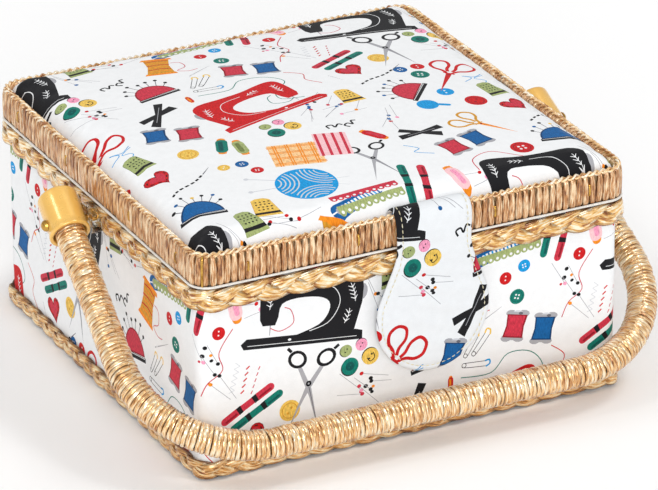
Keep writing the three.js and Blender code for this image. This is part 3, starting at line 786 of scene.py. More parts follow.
def dots():
    """Heads of pins, seen end on."""
    found = []
    for ink, x, y, r in (
        ("black", 3, 4, 1.3), ("black", 0, 0, 1.4), ("orange", 4.4, -1, 1.0), ("rose", -3, -2.6, 0.9),
        ("black", 3.6, -4, 1.1),
    ):
        found += blob(ink, x, y, r, 0.85, 9)
    return found


def checked():
    found = shape("peach", (-14, -12), (13, -13), (15, 12), (-13, 13))
    for i in range(4):
        for gap in (0, 1.3):
            k = -10 + i * 6.6 + gap
            found += stroke("orange", [(-13.6, k), (14, k - 1)], 0.7)
            found += stroke("orange", [(k - 1, -12.4), (k, 12.6)], 0.7)
    return found


def striped():
    found = shape("blush", (-9, -13), (9, -14), (10, 12), (-8, 13))
    for i in range(4):
        found += stroke("rose", [(-7 + i * 4.6, -13.4), (-6.2 + i * 4.6, 12.6)], 1.6)
    return found


def yarn_ball():
    """A ball of yarn on two knitting needles, its strands in three bundles of nested arcs."""
    found = stroke("pale", [(-26, 18), (20, -10)], 0.8, 0.3) + stroke("pale", [(-30, 4), (24, -2)], 0.8, 0.3)
    found += blob("pale", -26, 18, 1.4, 1, 8) + blob("pale", -30, 4, 1.4, 1, 8)
    found += blob("sky", 0, 0, 16.5, 1, 34)
    half_turn = np.linspace(math.pi / 2, 3 * math.pi / 2, 21)
    for turn in (35, 155, 275):
        for i in range(7):
            r = 6 + i * 2.3
            arc = [(19 + r * math.cos(a), r * math.sin(a)) for a in half_turn]
            inside = [p for p in arc if math.hypot(*p) < 15.6 and abs(math.atan2(p[1], p[0])) < 1.0]
            if len(inside) > 2:
                found += moved(stroke("pale", inside, 0.75), 0, 0, turn)
    return found


def zip_strip():
    found = moved(capsule("blue", 34, 8), 0) + shape("cloth", (-11, -2), (17, -2), (17, 2), (-11, 2))
    for i in range(12):
        x = -10 + i * 2.2
        found += shape("blue" if i % 2 else "sky", (x, -2), (x + 1, -2), (x + 1, 2), (x, 2))
    return found + blob("grey", -12, 0, 1.9, 1, 9) + stroke("cloth", [(-17, 0), (-13.6, 0)], 0.7)


def lace(ink):
    found = shape(ink, (-20, 0), (20, 0), (20, 3), (-20, 3))
    for x in range(-18, 20, 4):
        found += blob(ink, x, -0.4, 2.1, 1, 10) + blob("cloth", x, -0.6, 0.9, 1, 7)
    return found


def yarn_capsule(ink, ground):
    found = moved(capsule("orange", 22, 5.4), 0) + moved(capsule(ground, 18, 7.4), 0)
    return found + moved(capsule(ink, 13, 3.0), 0, 0.6) + stroke("orange", [(-9.8, -2.4), (-9.8, 2.4)], 1.4)


def hooks():
    hook = [(-3, -3), (-4.4, 0), (-1.4, 1.2), (0.2, -1.4), (2, 2.4), (4.4, 1.4)]
    found = stroke("black", bend(hook, 4), 1.1)
    return found + moved(found, 9, 3, 35)


def stitches():
    found = []
    for i in range(5):
        y = i * 3.4
        x = 6 + i * 0.3
        found += stroke("pale", [(-7, y), (-4, y + 1.8)], 0.4)
        found += stroke("pale", [(-4, y + 1.8), (-7, y + 3.4)], 0.4)
        found += stroke("red", [(0, y), (1.6, y + 2)], 0.8) + stroke("rose", [(x, y), (x + 0.5, y + 2)], 0.6)
    return found


def running_stitch():
    """A row of dark stitches with the needle still in it."""
    found = []
    for i in range(7):
        x = -17 + i * 4.6
        found += stroke("black", [(x, 0.9 * math.sin(i)), (x + 3, 0.9 * math.sin(i + 0.6))], 1.5)
    return found + stroke("dark_grey", [(15, 0.4), (24, 2.6)], 0.8, 0.3)


def needle():
    return stroke("grey", [(-9, 0), (9, 0)], 0.8, 0.2) + stroke("cloth", [(-8, 0), (-5.4, 0)], 0.3)


REPEAT_X, REPEAT_Y = 210, 217
THREADS = (  # loose threads: ink, then the points that each runs through
    ("rose", (14, 60), (18, 68), (26, 74), (24, 84), (32, 96)),
    ("red", (8, 45), (16, 38), (14, 30), (20, 22)),
    ("teal", (-46, 38), (-28, 37), (-18, 46), (-4, 44), (3, 33), (-8, 22), (-9, 12), (3, 9)),
    ("sky", (-113, -14), (-106, -8), (-111, -3), (-104, 0)),
    ("sky", (92, -6), (98, -2), (94, 2), (100, -1), (106, 2)),
    ("sky", (22, -68), (28, -74), (24, -77), (33, -82)),
    ("rose", (46, -108), (48, -96), (60, -91), (70, -98), (84, -112)),
)
PINNED = ((-96, 92), (-70, 104), (14, -14), (34, -32), (18, 74), (-104, 48), (50, -108), (4, -6))
# Each motif, then every place where it stands in a repeat of the print: x, y, turn in degrees, scale.
SMALL_MOTIFS = (
    (button_cluster(), (106, 65, 4), (-24, -20, 4, 0.95)),
    (button("red", 3.6, 2), (-20, 90, 30)),
    (button("sky", 3.6), (-9, 95, 30)),
    (button("red", 3.7, 2), (24, 95, 30)),
    (button("blue", 4.0), (67, 22, 30)),
    (button("red", 4.0, 2), (78, 23, 30)),
    (button("teal", 4.4, 4, "cloth", "dark_teal"), (-13, 78)),
    (button("teal", 5.2, 4, "cloth", "dark_teal"), (74, 12)),
    (button("yellow", 6.0, 2, "amber", "amber"), (64, 42)),
    (button("yellow", 5.8, 2, "amber", "amber"), (-82, -25)),
    (button("yellow", 3.4, 2, "cloth", "amber"), (-73, -49)),
    (button("blue", 3.6), (-63, -50, 20)),
    (button("red", 3.5), (-59, -60)),
    (button("sky", 4.8, 2), (75, -15, 30)),
    (button("red", 6.2, 2, "dark_rose", "dark_rose"), (85, -31)),
    (button("red", 6.4, 4, "cloth", "dark_rose"), (79, -93, 20)),
    (dots(), (108, 46), (15, 83, 20)),
    (hooks(), (-82, 75), (0, -32, -20)),
    (stitches(), (36, 58, -14)),
    (running_stitch(), (-97, -57, 30, 0.9), (52, 18, 26, 0.9)),
    (needle(), (-30, 70, 28), (30, 25, -60, 0.6)),
    *((stroke(ink, bend(points), 0.55), (0, 0)) for ink, *points in THREADS),
    (blob("amber", 96, 86, 1.0), (0, 0)),
    *((pins(number, 4 + number % 3), (x, y, number * 40)) for number, (x, y) in enumerate(PINNED)),
)
MIDDLE_MOTIFS = (
    (heart(), (42, 32, 20), (103, -41, 22)),
    (bobbin("rose", "dark_rose"), (-14, 61, -14), (-71, -3, -16), (46, -79, 14)),
    (bobbin("blue", "navy"), (3, 56, -12), (-87, 4, -14), (62, -74, 16)),
    (ribbons(), (-75, 27, 0, 1.08), (38, -57, -52)),
    (thimble("yellow", "amber"), (24, 0, 3)),
    (thimble("olive", "moss"), (101, -19, 14)),
    (thimble("yellow", "amber"), (-74, -99, -8, 1.1)),
    (thimble("olive", "moss"), (-87, -108, 8, 1.05)),
    (yarn_capsule("dark_teal", "teal"), (-63, -26, 68, 0.86)),
    (yarn_capsule("moss", "olive"), (-55, -32, 84, 0.86)),
    (yarn_capsule("rose", "red"), (14, -50, -58, 0.8)),
    (yarn_capsule("pink", "blush"), (33, -108, -80)),
    (zip_strip(), (-27, -111, 17)),
    (lace("rose"), (-20, 112, 4)),
    (lace("olive"), (-19, 104, 6)),
    (safety_pin("yellow"), (-34, 56, 52, 0.75), (-40, 56, 60, 0.7)),
    (safety_pin("sky"), (-37, 44, -6, 0.75)),
    (button("sky", 6, 0), (58, -27)),
    (capsule("sky", 8, 2.6), (66, -30, -28)),
)
LARGE_MOTIFS = (
    (machine("black"), (74, 97, -7)),
    (mirrored(machine("red", "teal")), (-24, 13, 15)),
    (yarn_capsule("orange", "red"), (-52, 36, 90, 0.42)),
    (scissors(), (75, 55, -8), (1, -74, -4, 0.84)),
    (snips("red", "red"), (88, 6, -38)),
    (snips("amber", "orange"), (73, -60, 40, 0.82)),
    (pincushion("rose", "dark_rose", ["black"]), (-64, 55, 12)),
    (pincushion("rose", "dark_rose", ["black", "black", "blue"]), (58, -7, 52)),
    (pincushion("blue", "navy", ["black", "blue", "black", "yellow"]), (-104, -86, -8)),
    (spool(), (-46, 88, -16)),
    (checked(), (-33, -53, -12)),
    (striped(), (-11, -50, -14)),
    (yarn_ball(), (-43, -85)),
    (skein("rose", "dark_rose"), (40, 51, 29)),
    (skein("teal", "dark_teal"), (45, 46, 29), (6, -103, 76)),
    (skein("rose", "dark_rose"), (15, -107, 74)),
)
PRINTED = [  # every shape of one repeat, in the order in which they are printed
    patch
    for motif, *places in (*SMALL_MOTIFS, *MIDDLE_MOTIFS, *LARGE_MOTIFS)
    for place in places
    for patch in moved(motif, *place)
]


def anticlockwise(loop):
    return loop if signed_area(*loop) > 0 else loop[::-1]


def tiles(low, high, shift):
    """Offsets of every repeat of the print that may reach between the two corners."""
    spans = []
    for axis, repeat in enumerate((REPEAT_X, REPEAT_Y)):
        first = math.floor((low[axis] + shift[axis]) / repeat) - 1
        last = math.ceil((high[axis] + shift[axis]) / repeat) + 1
        spans.append([number * repeat - shift[axis] for number in range(first, last + 1)])
    return [(dx, dy) for dx in spans[0] for dy in spans[1]]


def placed_shapes(low, high, shift):
    """The ink and outline of each printed shape that reaches between the two corners."""
    offsets = tiles(low, high, shift)
    for ink, loop in PRINTED:
        for dx, dy in offsets:
            placed = [(x + dx, y + dy) for x, y in loop]
            xs, ys = zip(*placed)
            if max(xs) >= low[0] and min(xs) <= high[0] and max(ys) >= low[1] and min(ys) <= high[1]:
                yield ink, anticlockwise(placed)


def printed_sheet(low, high, shift, step, outline=None, extra=()):
    """A flat triangle mesh of printed cloth between two corners, cut along every edge of the print.

    shift is where the sheet's zero lies on the print, step the distance between the mesh's own lines, outline
    the cloth's edge if it isn't a rectangle, and extra are more closed lines that the mesh follows.
    Gives the points, the triangles and the colour of each triangle."""
    points, edges, faces, inks = [], [], [], []

    def add_loop(loop):
        first = len(points)
        points.extend(loop)
        return list(range(first, first + len(loop)))

    border = outline or [(low[0], low[1]), (high[0], low[1]), (high[0], high[1]), (low[0], high[1])]
    faces.append(add_loop(anticlockwise(border)))
    inks.append("cloth")
    for axis in (0, 1):
        count = max(1, round((high[axis] - low[axis]) / step[axis]))
        for i in range(1, count):
            k = low[axis] + (high[axis] - low[axis]) * i / count
            ends = [(k, low[1]), (k, high[1])] if axis == 0 else [(low[0], k), (high[0], k)]
            edges.append(add_loop(ends))
    for loop in extra:
        numbers = add_loop(loop)
        edges.extend(zip(numbers, numbers[1:] + numbers[:1]))
    for ink, loop in placed_shapes(low, high, shift):
        faces.append(add_loop(loop))
        inks.append(ink)
    corners = [Vector(point) for point in points]
    flat, _, triangles, _, _, sources = delaunay_2d_cdt(corners, edges, faces, 0, 1e-4)
    inside = [(triangle, source) for triangle, source in zip(triangles, sources) if 0 in source]
    colours = [INKS[inks[max(source)]] for _, source in inside]
    used = sorted({n for triangle, _ in inside for n in triangle})
    renumber = {n: i for i, n in enumerate(used)}
    return (
        np.array([tuple(flat[n]) for n in used]),
        np.array([[renumber[n] for n in triangle] for triangle, _ in inside]),
        np.array(colours),
    )


def make_printed(name, flat, triangles, colours, place, body, normals=None):
    """A piece of printed cloth, its flat points placed in space."""
    fields = {"flat": np.column_stack([flat, np.zeros(len(flat))])}
    piece = make_piece(name, place, triangles, PRINT, body, fields)
    ink = piece.data.color_attributes.new("ink", "FLOAT_COLOR", "CORNER")
    values = np.ones((len(triangles), 3, 4), np.float32)
    values[:, :, :3] = colours[:, None, :]
    ink.data.foreach_set("color", values.ravel())
    if normals is not None:
        piece.data.normals_split_custom_set_from_vertices(normals.tolist())
    return piece


def surface_normals(place, flat, step=0.4):
    """Unit normals of the surface that place(u, v) describes, at the flat points."""
    u, v = flat[:, 0], flat[:, 1]
    across = place(u + step, v) - place(u - step, v)
    along = place(u, v + step) - place(u, v - step)
    return unit(np.cross(across, along))


# ---- The box's printed wall ------------------------------------------------------------------------------
WALL_CORNER = CORNER - (RIM_HALF - BODY_HALF)
WALL_LENGTH = perimeter(BODY_HALF, WALL_CORNER)
WALL_SHIFT = (136, 13)  # where the middle of the front's foot lies on the print
WALL_MESH = (3.0, 9.0)
WALL_SUNK = 0.1
WALL_RIPPLE = 0.10


def add_wall_cover():
    """The cotton round the walls. It is glued to board, so it only ripples a little."""
    ripple = waves(9, 18, 60, 3)

    def place(u, v):
        xy, normal = around(u, BODY_HALF - WALL_SUNK, WALL_CORNER)
        depth = WALL_RIPPLE * ripple(u, v * 1.6)
        return flat_to_space(xy + normal * depth[:, None], v)

    low, high = (-WALL_LENGTH / 2, COVER_LOW.z), (WALL_LENGTH / 2, COVER_HIGH.z)
    flat, triangles, colours = printed_sheet(low, high, WALL_SHIFT, WALL_MESH)
    normals = surface_normals(place, flat)
    piece = make_printed("wall_cover", flat, triangles, colours, place(*flat.T), "box", normals)
    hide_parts("outer_cover")


# ---- The padded lid --------------------------------------------------------------------------------------
LID_SEAM = 124.6  # height of the seam where the top meets the rim
LID_TOP = size("lid_cover")[1].z
SHOULDER_WIDTH = 9.0
SHOULDER_RISE = 8.2
SIM_CELLS = 90
SIM_FRAMES = 20
SIM_LIMIT = 1.2  # the most that the cloth may leave its pattern shape
SIM_SETTINGS = {
    "vertex_group_mass": "seam",
    "quality": 5,
    "mass": 0.15,
    "tension_stiffness": 40,
    "compression_stiffness": 40,
    "bending_stiffness": 2.0,
    "shrink_min": -0.004,
    "use_pressure": True,
    "uniform_pressure_force": 2,
}
TOP_MESH = (4.0, 4.0)
TOP_RINGS = (0.7, 1.5, 2.6)  # lines that the mesh follows along the seam, by their distance from it
TOP_PUCKER, TOP_LOOSE = 0.32, 0.12


def dome(x, y):
    """Pattern shape of the padded top: a round shoulder along the seam and a gently crowned middle."""
    def shoulder(place):
        inset = np.clip((LID_EDGE - np.abs(place)) / SHOULDER_WIDTH, 0, 1)
        return np.sqrt(1 - (1 - inset) ** 2)

    crown = (1 - (x / LID_EDGE) ** 2) * (1 - (y / LID_EDGE) ** 2)
    crown_rise = LID_TOP - LID_SEAM - SHOULDER_RISE
    return LID_SEAM + SHOULDER_RISE * shoulder(x) * shoulder(y) + crown_rise * crown


def inflate(points, cells):
    """The top's cloth, sewn down at its edge and pushed up by the foam. Returns the settled points."""
    mesh = bpy.data.meshes.new("inflating")
    count = cells + 1
    mesh.from_pydata((points.reshape(-1, 3) * MM).tolist(), [], grid_faces(count, count).tolist())
    cloth = link("inflating", mesh)
    ends = (0, cells)
    edge = [i * count + j for i in range(count) for j in range(count) if i in ends or j in ends]
    cloth.vertex_groups.new(name="seam").add(edge, 1.0, "ADD")
    modifier = cloth.modifiers.new("cloth", "CLOTH")
    for setting, value in SIM_SETTINGS.items():
        setattr(modifier.settings, setting, value)
    modifier.settings.effector_weights.gravity = 0
    modifier.collision_settings.use_collision = False
    modifier.point_cache.frame_end = SIM_FRAMES
    scene = bpy.context.scene
    for number in range(1, SIM_FRAMES + 1):
        scene.frame_set(number)
    evaluated = cloth.evaluated_get(bpy.context.evaluated_depsgraph_get())
    settled = np.zeros(count * count * 3)
    evaluated.data.vertices.foreach_get("co", settled)
    scene.frame_set(1)
    bpy.data.objects.remove(cloth)
    moved_by = settled.reshape(count, count, 3) / MM - points
    length = np.linalg.norm(moved_by, axis=2, keepdims=True)
    return points + moved_by * np.minimum(1, SIM_LIMIT / np.maximum(length, 1e-9))


def sampled(grid, x, y, line):
    """Points of a grid over the lid, looked up between its lines, which stand alike on both axes."""
    cells = len(line) - 1
    a = np.clip(np.interp(x, line, np.arange(cells + 1)), 0, cells - 1e-6)
    b = np.clip(np.interp(y, line, np.arange(cells + 1)), 0, cells - 1e-6)
    i, j = a.astype(int), b.astype(int)
    s, t = (a - i)[:, None], (b - j)[:, None]
    return (
        grid[i, j] * (1 - s) * (1 - t) + grid[i + 1, j] * s * (1 - t)
        + grid[i, j + 1] * (1 - s) * t + grid[i + 1, j + 1] * s * t
    )


def square(half):
    return [(-half, -half), (half, -half), (half, half), (-half, half)]


def add_lid_top():
    even = np.linspace(-1, 1, SIM_CELLS + 1)
    line = LID_EDGE * (0.5 * even + 0.5 * np.sin(even * math.pi / 2))
    x, y = np.meshgrid(line, line, indexing="ij")
    grid = np.stack([x, y, dome(x, y)], -1)
    grid = inflate(grid, SIM_CELLS)
    gathers = waves(8, 5, 11, 21)
    loose = waves(6, 30, 80, 8)

    def place(u, v):
        point = sampled(grid, u, v, line)
        inset = LID_EDGE - np.maximum(np.abs(u), np.abs(v))
        near_seam = np.exp(-inset / 6.0) * (1 - np.exp(-np.maximum(inset, 0)))
        point[:, 2] += TOP_PUCKER * gathers(u, v) * near_seam + TOP_LOOSE * loose(u, v)
        return point

    low, high = (-LID_EDGE, -LID_EDGE), (LID_EDGE, LID_EDGE)
    rings = [square(LID_EDGE - inset) for inset in TOP_RINGS]
    flat, triangles, colours = printed_sheet(low, high, (0, 0), TOP_MESH, extra=rings)
    normals = surface_normals(place, flat)
    piece = make_printed("lid_top_cloth", flat, triangles, colours, place(*flat.T), "lid", normals)
    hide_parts("lid_cover", "lid_padding")


# ---- Wound rim of the lid --------------------------------------------------------------------------------
RUSH_PITCH = 4.0
RUSH_ALONG, RUSH_ACROSS = 27, 11  # points along and across each turn of rush
RUSH_TIES = (0.28, 0.72)  # where hidden threads pinch the turns, as shares of the section
RUSH_FOLDS = (0.6, 0.95, 1.7)
RUSH_SEAT = 0.75
RIM_SECTION = [
    (-5.2, 7.0), (-5.2, 0.8), (-4.6, 0.1), (-2.6, 0.0), (-0.7, 0.1), (-0.1, 0.9), (0.0, 2.4), (0.15, 8.0),
    (0.0, 13.4), (-0.4, 15.6), (-1.5, 16.6), (-3.0, 16.5), (-4.4, 15.4), (-5.2, 13.0), (-5.2, 11.0),
]


def rim_section(share):
    """Outward offset from the rim's face and height, from under the rim, up its face and over the top."""
    section = np.array(RIM_SECTION)
    outs, lows = section.T
    steps = lengths_along(section)
    at = share * steps[-1]
    return np.interp(at, steps, outs), RIM_LOW.z + np.interp(at, steps, lows), at


def rush_turn(share, t, pitch):
    """One crumpled turn of rush: how far each point lies along the rim, and how far it bulges."""
    wide = pitch * rng.uniform(0.46, 0.60)
    lean_over = rng.uniform(-0.4, 0.9)
    sway = rng.uniform(0.1, 0.35) * np.sin(share * rng.uniform(4, 9) + rng.uniform(0, TAU))
    low_tie, high_tie = (np.exp(-((share - tie) / 0.06) ** 2) for tie in RUSH_TIES)
    pinch = 1 - 0.30 * high_tie - 0.25 * low_tie
    middle = (lean_over * (share - 0.3) + sway)[:, None]
    folds = np.zeros((RUSH_ALONG, RUSH_ACROSS))
    for wavelength in RUSH_FOLDS:
        drift = rng.uniform(-1.6, 1.6) * share[:, None] + rng.uniform(0, 1)
        crease = np.abs(np.sin(math.pi * (t[None, :] / wavelength + drift)))
        folds += rng.uniform(0.08, 0.24) * crease
    crown = rng.uniform(0.8, 1.15) * np.sqrt(np.clip(1 - t ** 4, 0, 1))[None, :]
    proud = np.where((share > 0.25) & (share < 0.85), 1.0, 0.3)[:, None]
    return middle, wide * pinch[:, None] * t[None, :], (crown + folds * crown) * proud - RUSH_SEAT


def add_rim_winding():
    """Crumpled paper rush, wound round the hoop one turn beside the next."""
    length = perimeter(RIM_HALF, CORNER)
    count = round(length / RUSH_PITCH)
    pitch = length / count
    share = np.linspace(0, 1, RUSH_ALONG)
    t = np.linspace(-1, 1, RUSH_ACROSS)
    out, z, at = rim_section(share)
    ahead, ahead_z, _ = rim_section(np.clip(share + 0.01, 0, 1))
    behind, behind_z, _ = rim_section(np.clip(share - 0.01, 0, 1))
    lean = unit(np.stack([ahead_z - behind_z, -(ahead - behind)], -1))
    rush = Bundle()
    for k in range(count):
        middle, beside, bulge = rush_turn(share, t, pitch)
        xy, normal = around(k * pitch + middle + beside, RIM_HALF, CORNER)
        offset = out[:, None] + bulge * lean[:, None, 0]
        height = z[:, None] + bulge * lean[:, None, 1]
        strip = flat_to_space(xy + normal * offset[..., None], height)
        rush.add(strip, (at[:, None], t, k), tube=False, turned=True)
    # painted shade along the lower tie, where the hidden thread pinches the turns
    sunk = np.tile(np.repeat(0.35 * np.exp(-((at / at[-1] - RUSH_TIES[0]) / 0.05) ** 2), RUSH_ACROSS), count)
    piece = rush.make("rim_winding", RUSH, "lid", "rush_winding", sunk=sunk)
    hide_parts("lid_rim_wrap")


ROPE_INSET = 1.3
ROPE_LIFT = 0.1
ROPE_ORBIT = 0.85  # from the rope's middle to the middle of each ply
ROPE_SIDES = 8


def add_edge_rope():
    """Two-ply cream rope that binds the winding along its upper edge."""
    length = perimeter(RIM_HALF, CORNER)
    turns = round(length / (2 * RUSH_PITCH))
    steps = turns * 16
    s = np.arange(steps) * length / steps
    xy, normal = around(s, RIM_HALF - ROPE_INSET, CORNER)
    wander = 0.15 * np.sin(s / 13.0) + 0.12 * np.sin(s / 5.1)
    out = flat_to_space(normal, 0.0)
    across = np.abs(np.linspace(-1, 1, ROPE_SIDES)) * 0.6
    rope = Bundle()
    for ply in range(2):
        turn = TAU * (turns * np.arange(steps) / steps + ply / 2)
        height = RIM_HIGH.z + ROPE_LIFT + ROPE_ORBIT * np.sin(turn)
        centre = flat_to_space(xy + normal * (ROPE_ORBIT * np.cos(turn) + wander)[:, None], height)
        wide = 0.88 + 0.14 * np.sin(s * 1.7 + ply)
        rings = tube_rings(centre, out, upwards(out), wide, np.full(steps, 0.80), ROPE_SIDES)
        rope.add(rings, (s[:, None], across, ply), endless=True)
    rope.make("rim_edge_rope", ROPE, "lid", "rush_winding")


PIPING_OUT = 0.3
PIPING_LIFT = 0.5
PIPING_STEPS, PIPING_SIDES = 640, 8


def add_piping():
    """Thin white cord under the rim, sewn to the lid's underside."""
    radius = (PIPING_HIGH.z - PIPING_LOW.z) / 2
    half, corner = RIM_HALF + PIPING_OUT, CORNER + PIPING_OUT
    s = np.arange(PIPING_STEPS) * perimeter(half, corner) / PIPING_STEPS
    xy, normal = around(s, half, corner)
    centre = flat_to_space(xy, (PIPING_LOW.z + PIPING_HIGH.z) / 2 + PIPING_LIFT)
    out = flat_to_space(normal, 0.0)
    twisted = radius * (1 + 0.06 * np.sin(s * TAU / 1.6))
    rings = tube_rings(centre, out, upwards(out), twisted, twisted, PIPING_SIDES)
    faces = grid_faces(PIPING_STEPS, PIPING_SIDES, True, True)
    piece = make_piece("lid_piping_cord", rings, faces, PIPING, "lid")
    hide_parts("lid_piping")


# ---- Plaited braids --------------------------------------------------------------------------------------
BRAID_SIDES = 36
BRAID_STEPS = 26  # rings along each repeat of the plait
BRAID_GROOVES = 9
BRAID_DIVE_SHADE = 0.75  # painted shade: how dark a strand gets where it dives under its neighbours
TOP_BRAID = {"sway": 3.0, "depth": 1.35, "wide": 3.7, "thick": 1.15, "repeat": 50}
FOOT_BRAID = {"sway": 2.3, "depth": 0.9, "wide": 2.7, "thick": 1.0, "repeat": 40}
TOP_BRAID_OUT, FOOT_BRAID_OUT = 1.9, 1.4
FOOT_BRAID_LIFT = 0.95  # keeps the strands off the floor


def add_braid(name, node, half, corner, middle, material, seed, sway, depth, wide, thick, repeat):
    """A flat three-strand plait round the box. sway is how far a strand swings up and down in each repeat."""
    length = perimeter(half, corner)
    repeats = round(length / repeat)
    steps = repeats * BRAID_STEPS
    source = np.random.default_rng(seed)
    s = np.arange(steps) * length / steps
    xy, normal = around(s, half, corner)
    outward = flat_to_space(normal, 0.0)
    phase = TAU * repeats * np.arange(steps) / steps
    uneven = waves(5, 25, 90, seed)
    angle = angles(BRAID_SIDES)
    plait, sunk = Bundle(), []
    for strand in range(3):
        theta = phase + strand * TAU / 3
        height = middle + sway * np.sin(theta) * (1 + 0.10 * uneven(s, strand * 40.0))
        out = depth * np.sin(2 * theta) + 0.2 * uneven(s, 200 + strand * 50.0)
        centre = flat_to_space(xy + normal * out[:, None], height)
        side = unit(np.cross(closed_headings(centre), outward))
        swell = 1 + 0.16 * np.cos(2 * theta) + 0.08 * uneven(s, 90.0 * strand)
        rings = tube_rings(centre, side, outward, wide * swell, thick * (2 - swell) * 0.95, BRAID_SIDES)
        grooves = 1 + 0.12 * np.sin(angle * BRAID_GROOVES + source.uniform(0, TAU))[None, :, None]
        rings = centre[:, None, :] + (rings - centre[:, None, :]) * grooves
        proud = np.einsum("ijk,ijk->ij", rings - flat_to_space(xy, 0)[:, None, :], outward[:, None, :])
        rings += outward[:, None, :] * np.maximum(0, BODY_HALF - half + 0.1 - proud)[..., None]
        plait.add(rings, (s[:, None], np.cos(angle) * 0.95, strand + 0.5), endless=True)
        # painted shade where each strand dives under the other two
        dive_shade = BRAID_DIVE_SHADE * np.clip(-np.sin(2 * theta), 0, 1) ** 2
        sunk.append(dive_shade[:, None] * (0.4 + 0.6 * np.abs(np.cos(angle))))
    piece = plait.make(name, material, "box", "straw_braid", sunk=np.ravel(sunk))
    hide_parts(node)


def add_braids():
    middle = (TOP_BRAID_LOW.z + TOP_BRAID_HIGH.z) / 2
    half, corner = BODY_HALF + TOP_BRAID_OUT, WALL_CORNER + 2
    add_braid("top_plait", "top_braid", half, corner, middle, PLAIT, 5, **TOP_BRAID)
    middle = (FOOT_LOW.z + FOOT_HIGH.z) / 2 + FOOT_BRAID_LIFT
    half, corner = BODY_HALF + FOOT_BRAID_OUT, WALL_CORNER + 1.5
    add_braid("foot_plait", "bottom_braid", half, corner, middle, FOOT, 6, **FOOT_BRAID)


# ---- Handle ----------------------------------------------------------------------------------------------
PIVOT = Vector(JOINTS["handle_swing"]["pos_m"]) / MM
PIVOT_X = 142.5
HANDLE_DROP = math.radians(29.5)  # below level, at rest
HANDLE_LENGTH = 159.6
HANDLE_SPREAD = 150.2
HANDLE_CORNER = 62.0
HANDLE_TAIL = 12.0
WRAP_RADIUS = 8.2
WINDING_PITCH = 2.4
WINDING_STEPS = 22  # rings in each turn
WINDING_SIDES = 8
STRAND_SUNK = 0.78
STRAND_WIDE, STRAND_DEEP = 1.46, 0.66
STRAND_TWIST = 0.22


def handle_line(count):
    """Points along the handle's middle, evenly spaced, with the direction across its plane."""
    cu, cv = HANDLE_SPREAD - HANDLE_CORNER, HANDLE_LENGTH - HANDLE_CORNER
    du, dv = cu - PIVOT_X, cv
    start = math.atan2(dv, du) - math.pi + math.acos(HANDLE_CORNER / math.hypot(du, dv))
    arm = HANDLE_TAIL + math.sqrt(du * du + dv * dv - HANDLE_CORNER ** 2)
    arc = HANDLE_CORNER * (math.pi / 2 - start)
    half = arm + arc + cu
    s = np.linspace(0, 2 * half, count)
    side = np.where(s < half, -1.0, 1.0)
    d = np.where(s < half, s, 2 * half - s)
    angle = start + (d - arm) / HANDLE_CORNER
    on_arm, on_arc = d < arm, (d >= arm) & (d < arm + arc)
    arc_u, arc_v = cu + HANDLE_CORNER * np.cos(angle), cv + HANDLE_CORNER * np.sin(angle)
    arm_u, arm_v = PIVOT_X + (d - HANDLE_TAIL) * math.sin(-start), (d - HANDLE_TAIL) * math.cos(start)
    u = np.where(on_arm, arm_u, np.where(on_arc, arc_u, half - d))
    v = np.where(on_arm, arm_v, np.where(on_arc, arc_v, HANDLE_LENGTH))
    point = np.stack([side * u, PIVOT.y - v * math.cos(HANDLE_DROP), PIVOT.z - v * math.sin(HANDLE_DROP)], -1)
    across = np.array([0.0, -math.sin(HANDLE_DROP), math.cos(HANDLE_DROP)])
    return point, across, 2 * half


def add_handle_winding():
    """One long straw strand wound round the cane, each turn slightly uneven."""
    _, _, length = handle_line(3)
    turns = round(length / WINDING_PITCH)
    count = turns * WINDING_STEPS
    line, across, _ = handle_line(count)
    along = headings(line)
    inner = np.cross(along, across)
    turn = TAU * np.arange(count) / WINDING_STEPS
    radial = np.cos(turn)[:, None] * across + np.sin(turn)[:, None] * inner
    number = np.arange(count) // WINDING_STEPS
    jitter = rng.normal(0, 1, (turns + 1, 3))
    blend = (np.arange(count) % WINDING_STEPS / WINDING_STEPS)[:, None]
    uneven = jitter[number] * (1 - blend) + jitter[number + 1] * blend
    crumple = rng.normal(0, 1, (count, 3))
    crumple = (crumple + np.roll(crumple, 1, 0)) / math.sqrt(2)
    reach = WRAP_RADIUS - STRAND_SUNK + 0.10 * uneven[:, 0] + 0.07 * crumple[:, 0]
    centre = line + radial * reach[:, None] + along * (0.16 * uneven[:, 1] + 0.10 * crumple[:, 1])[:, None]
    side = unit(np.cross(headings(centre), radial))
    twist = STRAND_TWIST * crumple[:, 2][:, None]
    leaning = side * np.cos(twist) + radial * np.sin(twist)
    facing = radial * np.cos(twist) - side * np.sin(twist)
    wide = STRAND_WIDE + 0.10 * uneven[:, 2]
    rings = tube_rings(centre, leaning, facing, wide, np.full(count, STRAND_DEEP), WINDING_SIDES)
    straw_length = np.arange(count) * TAU * WRAP_RADIUS / WINDING_STEPS
    straw = Bundle()
    lay = (straw_length[:, None], np.cos(angles(WINDING_SIDES)), number[:, None] * 0.37)
    straw.add(rings, lay, turned=True)
    piece = straw.make("handle_winding", WINDING, "handle", "handle_winding")
    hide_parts("handle_wrap")


# ---- Ferrules and small brass pieces ---------------------------------------------------------------------
FERRULE_RADIUS = 10.75
FERRULE_END, FERRULE_MOUTH = -17.0, 8.5  # along the arm, from the handle's axis
FERRULE_BORE = 9.15
FERRULE_ROUND = 2.2  # radius of the rounded shoulder
FERRULE_SIDES = 64


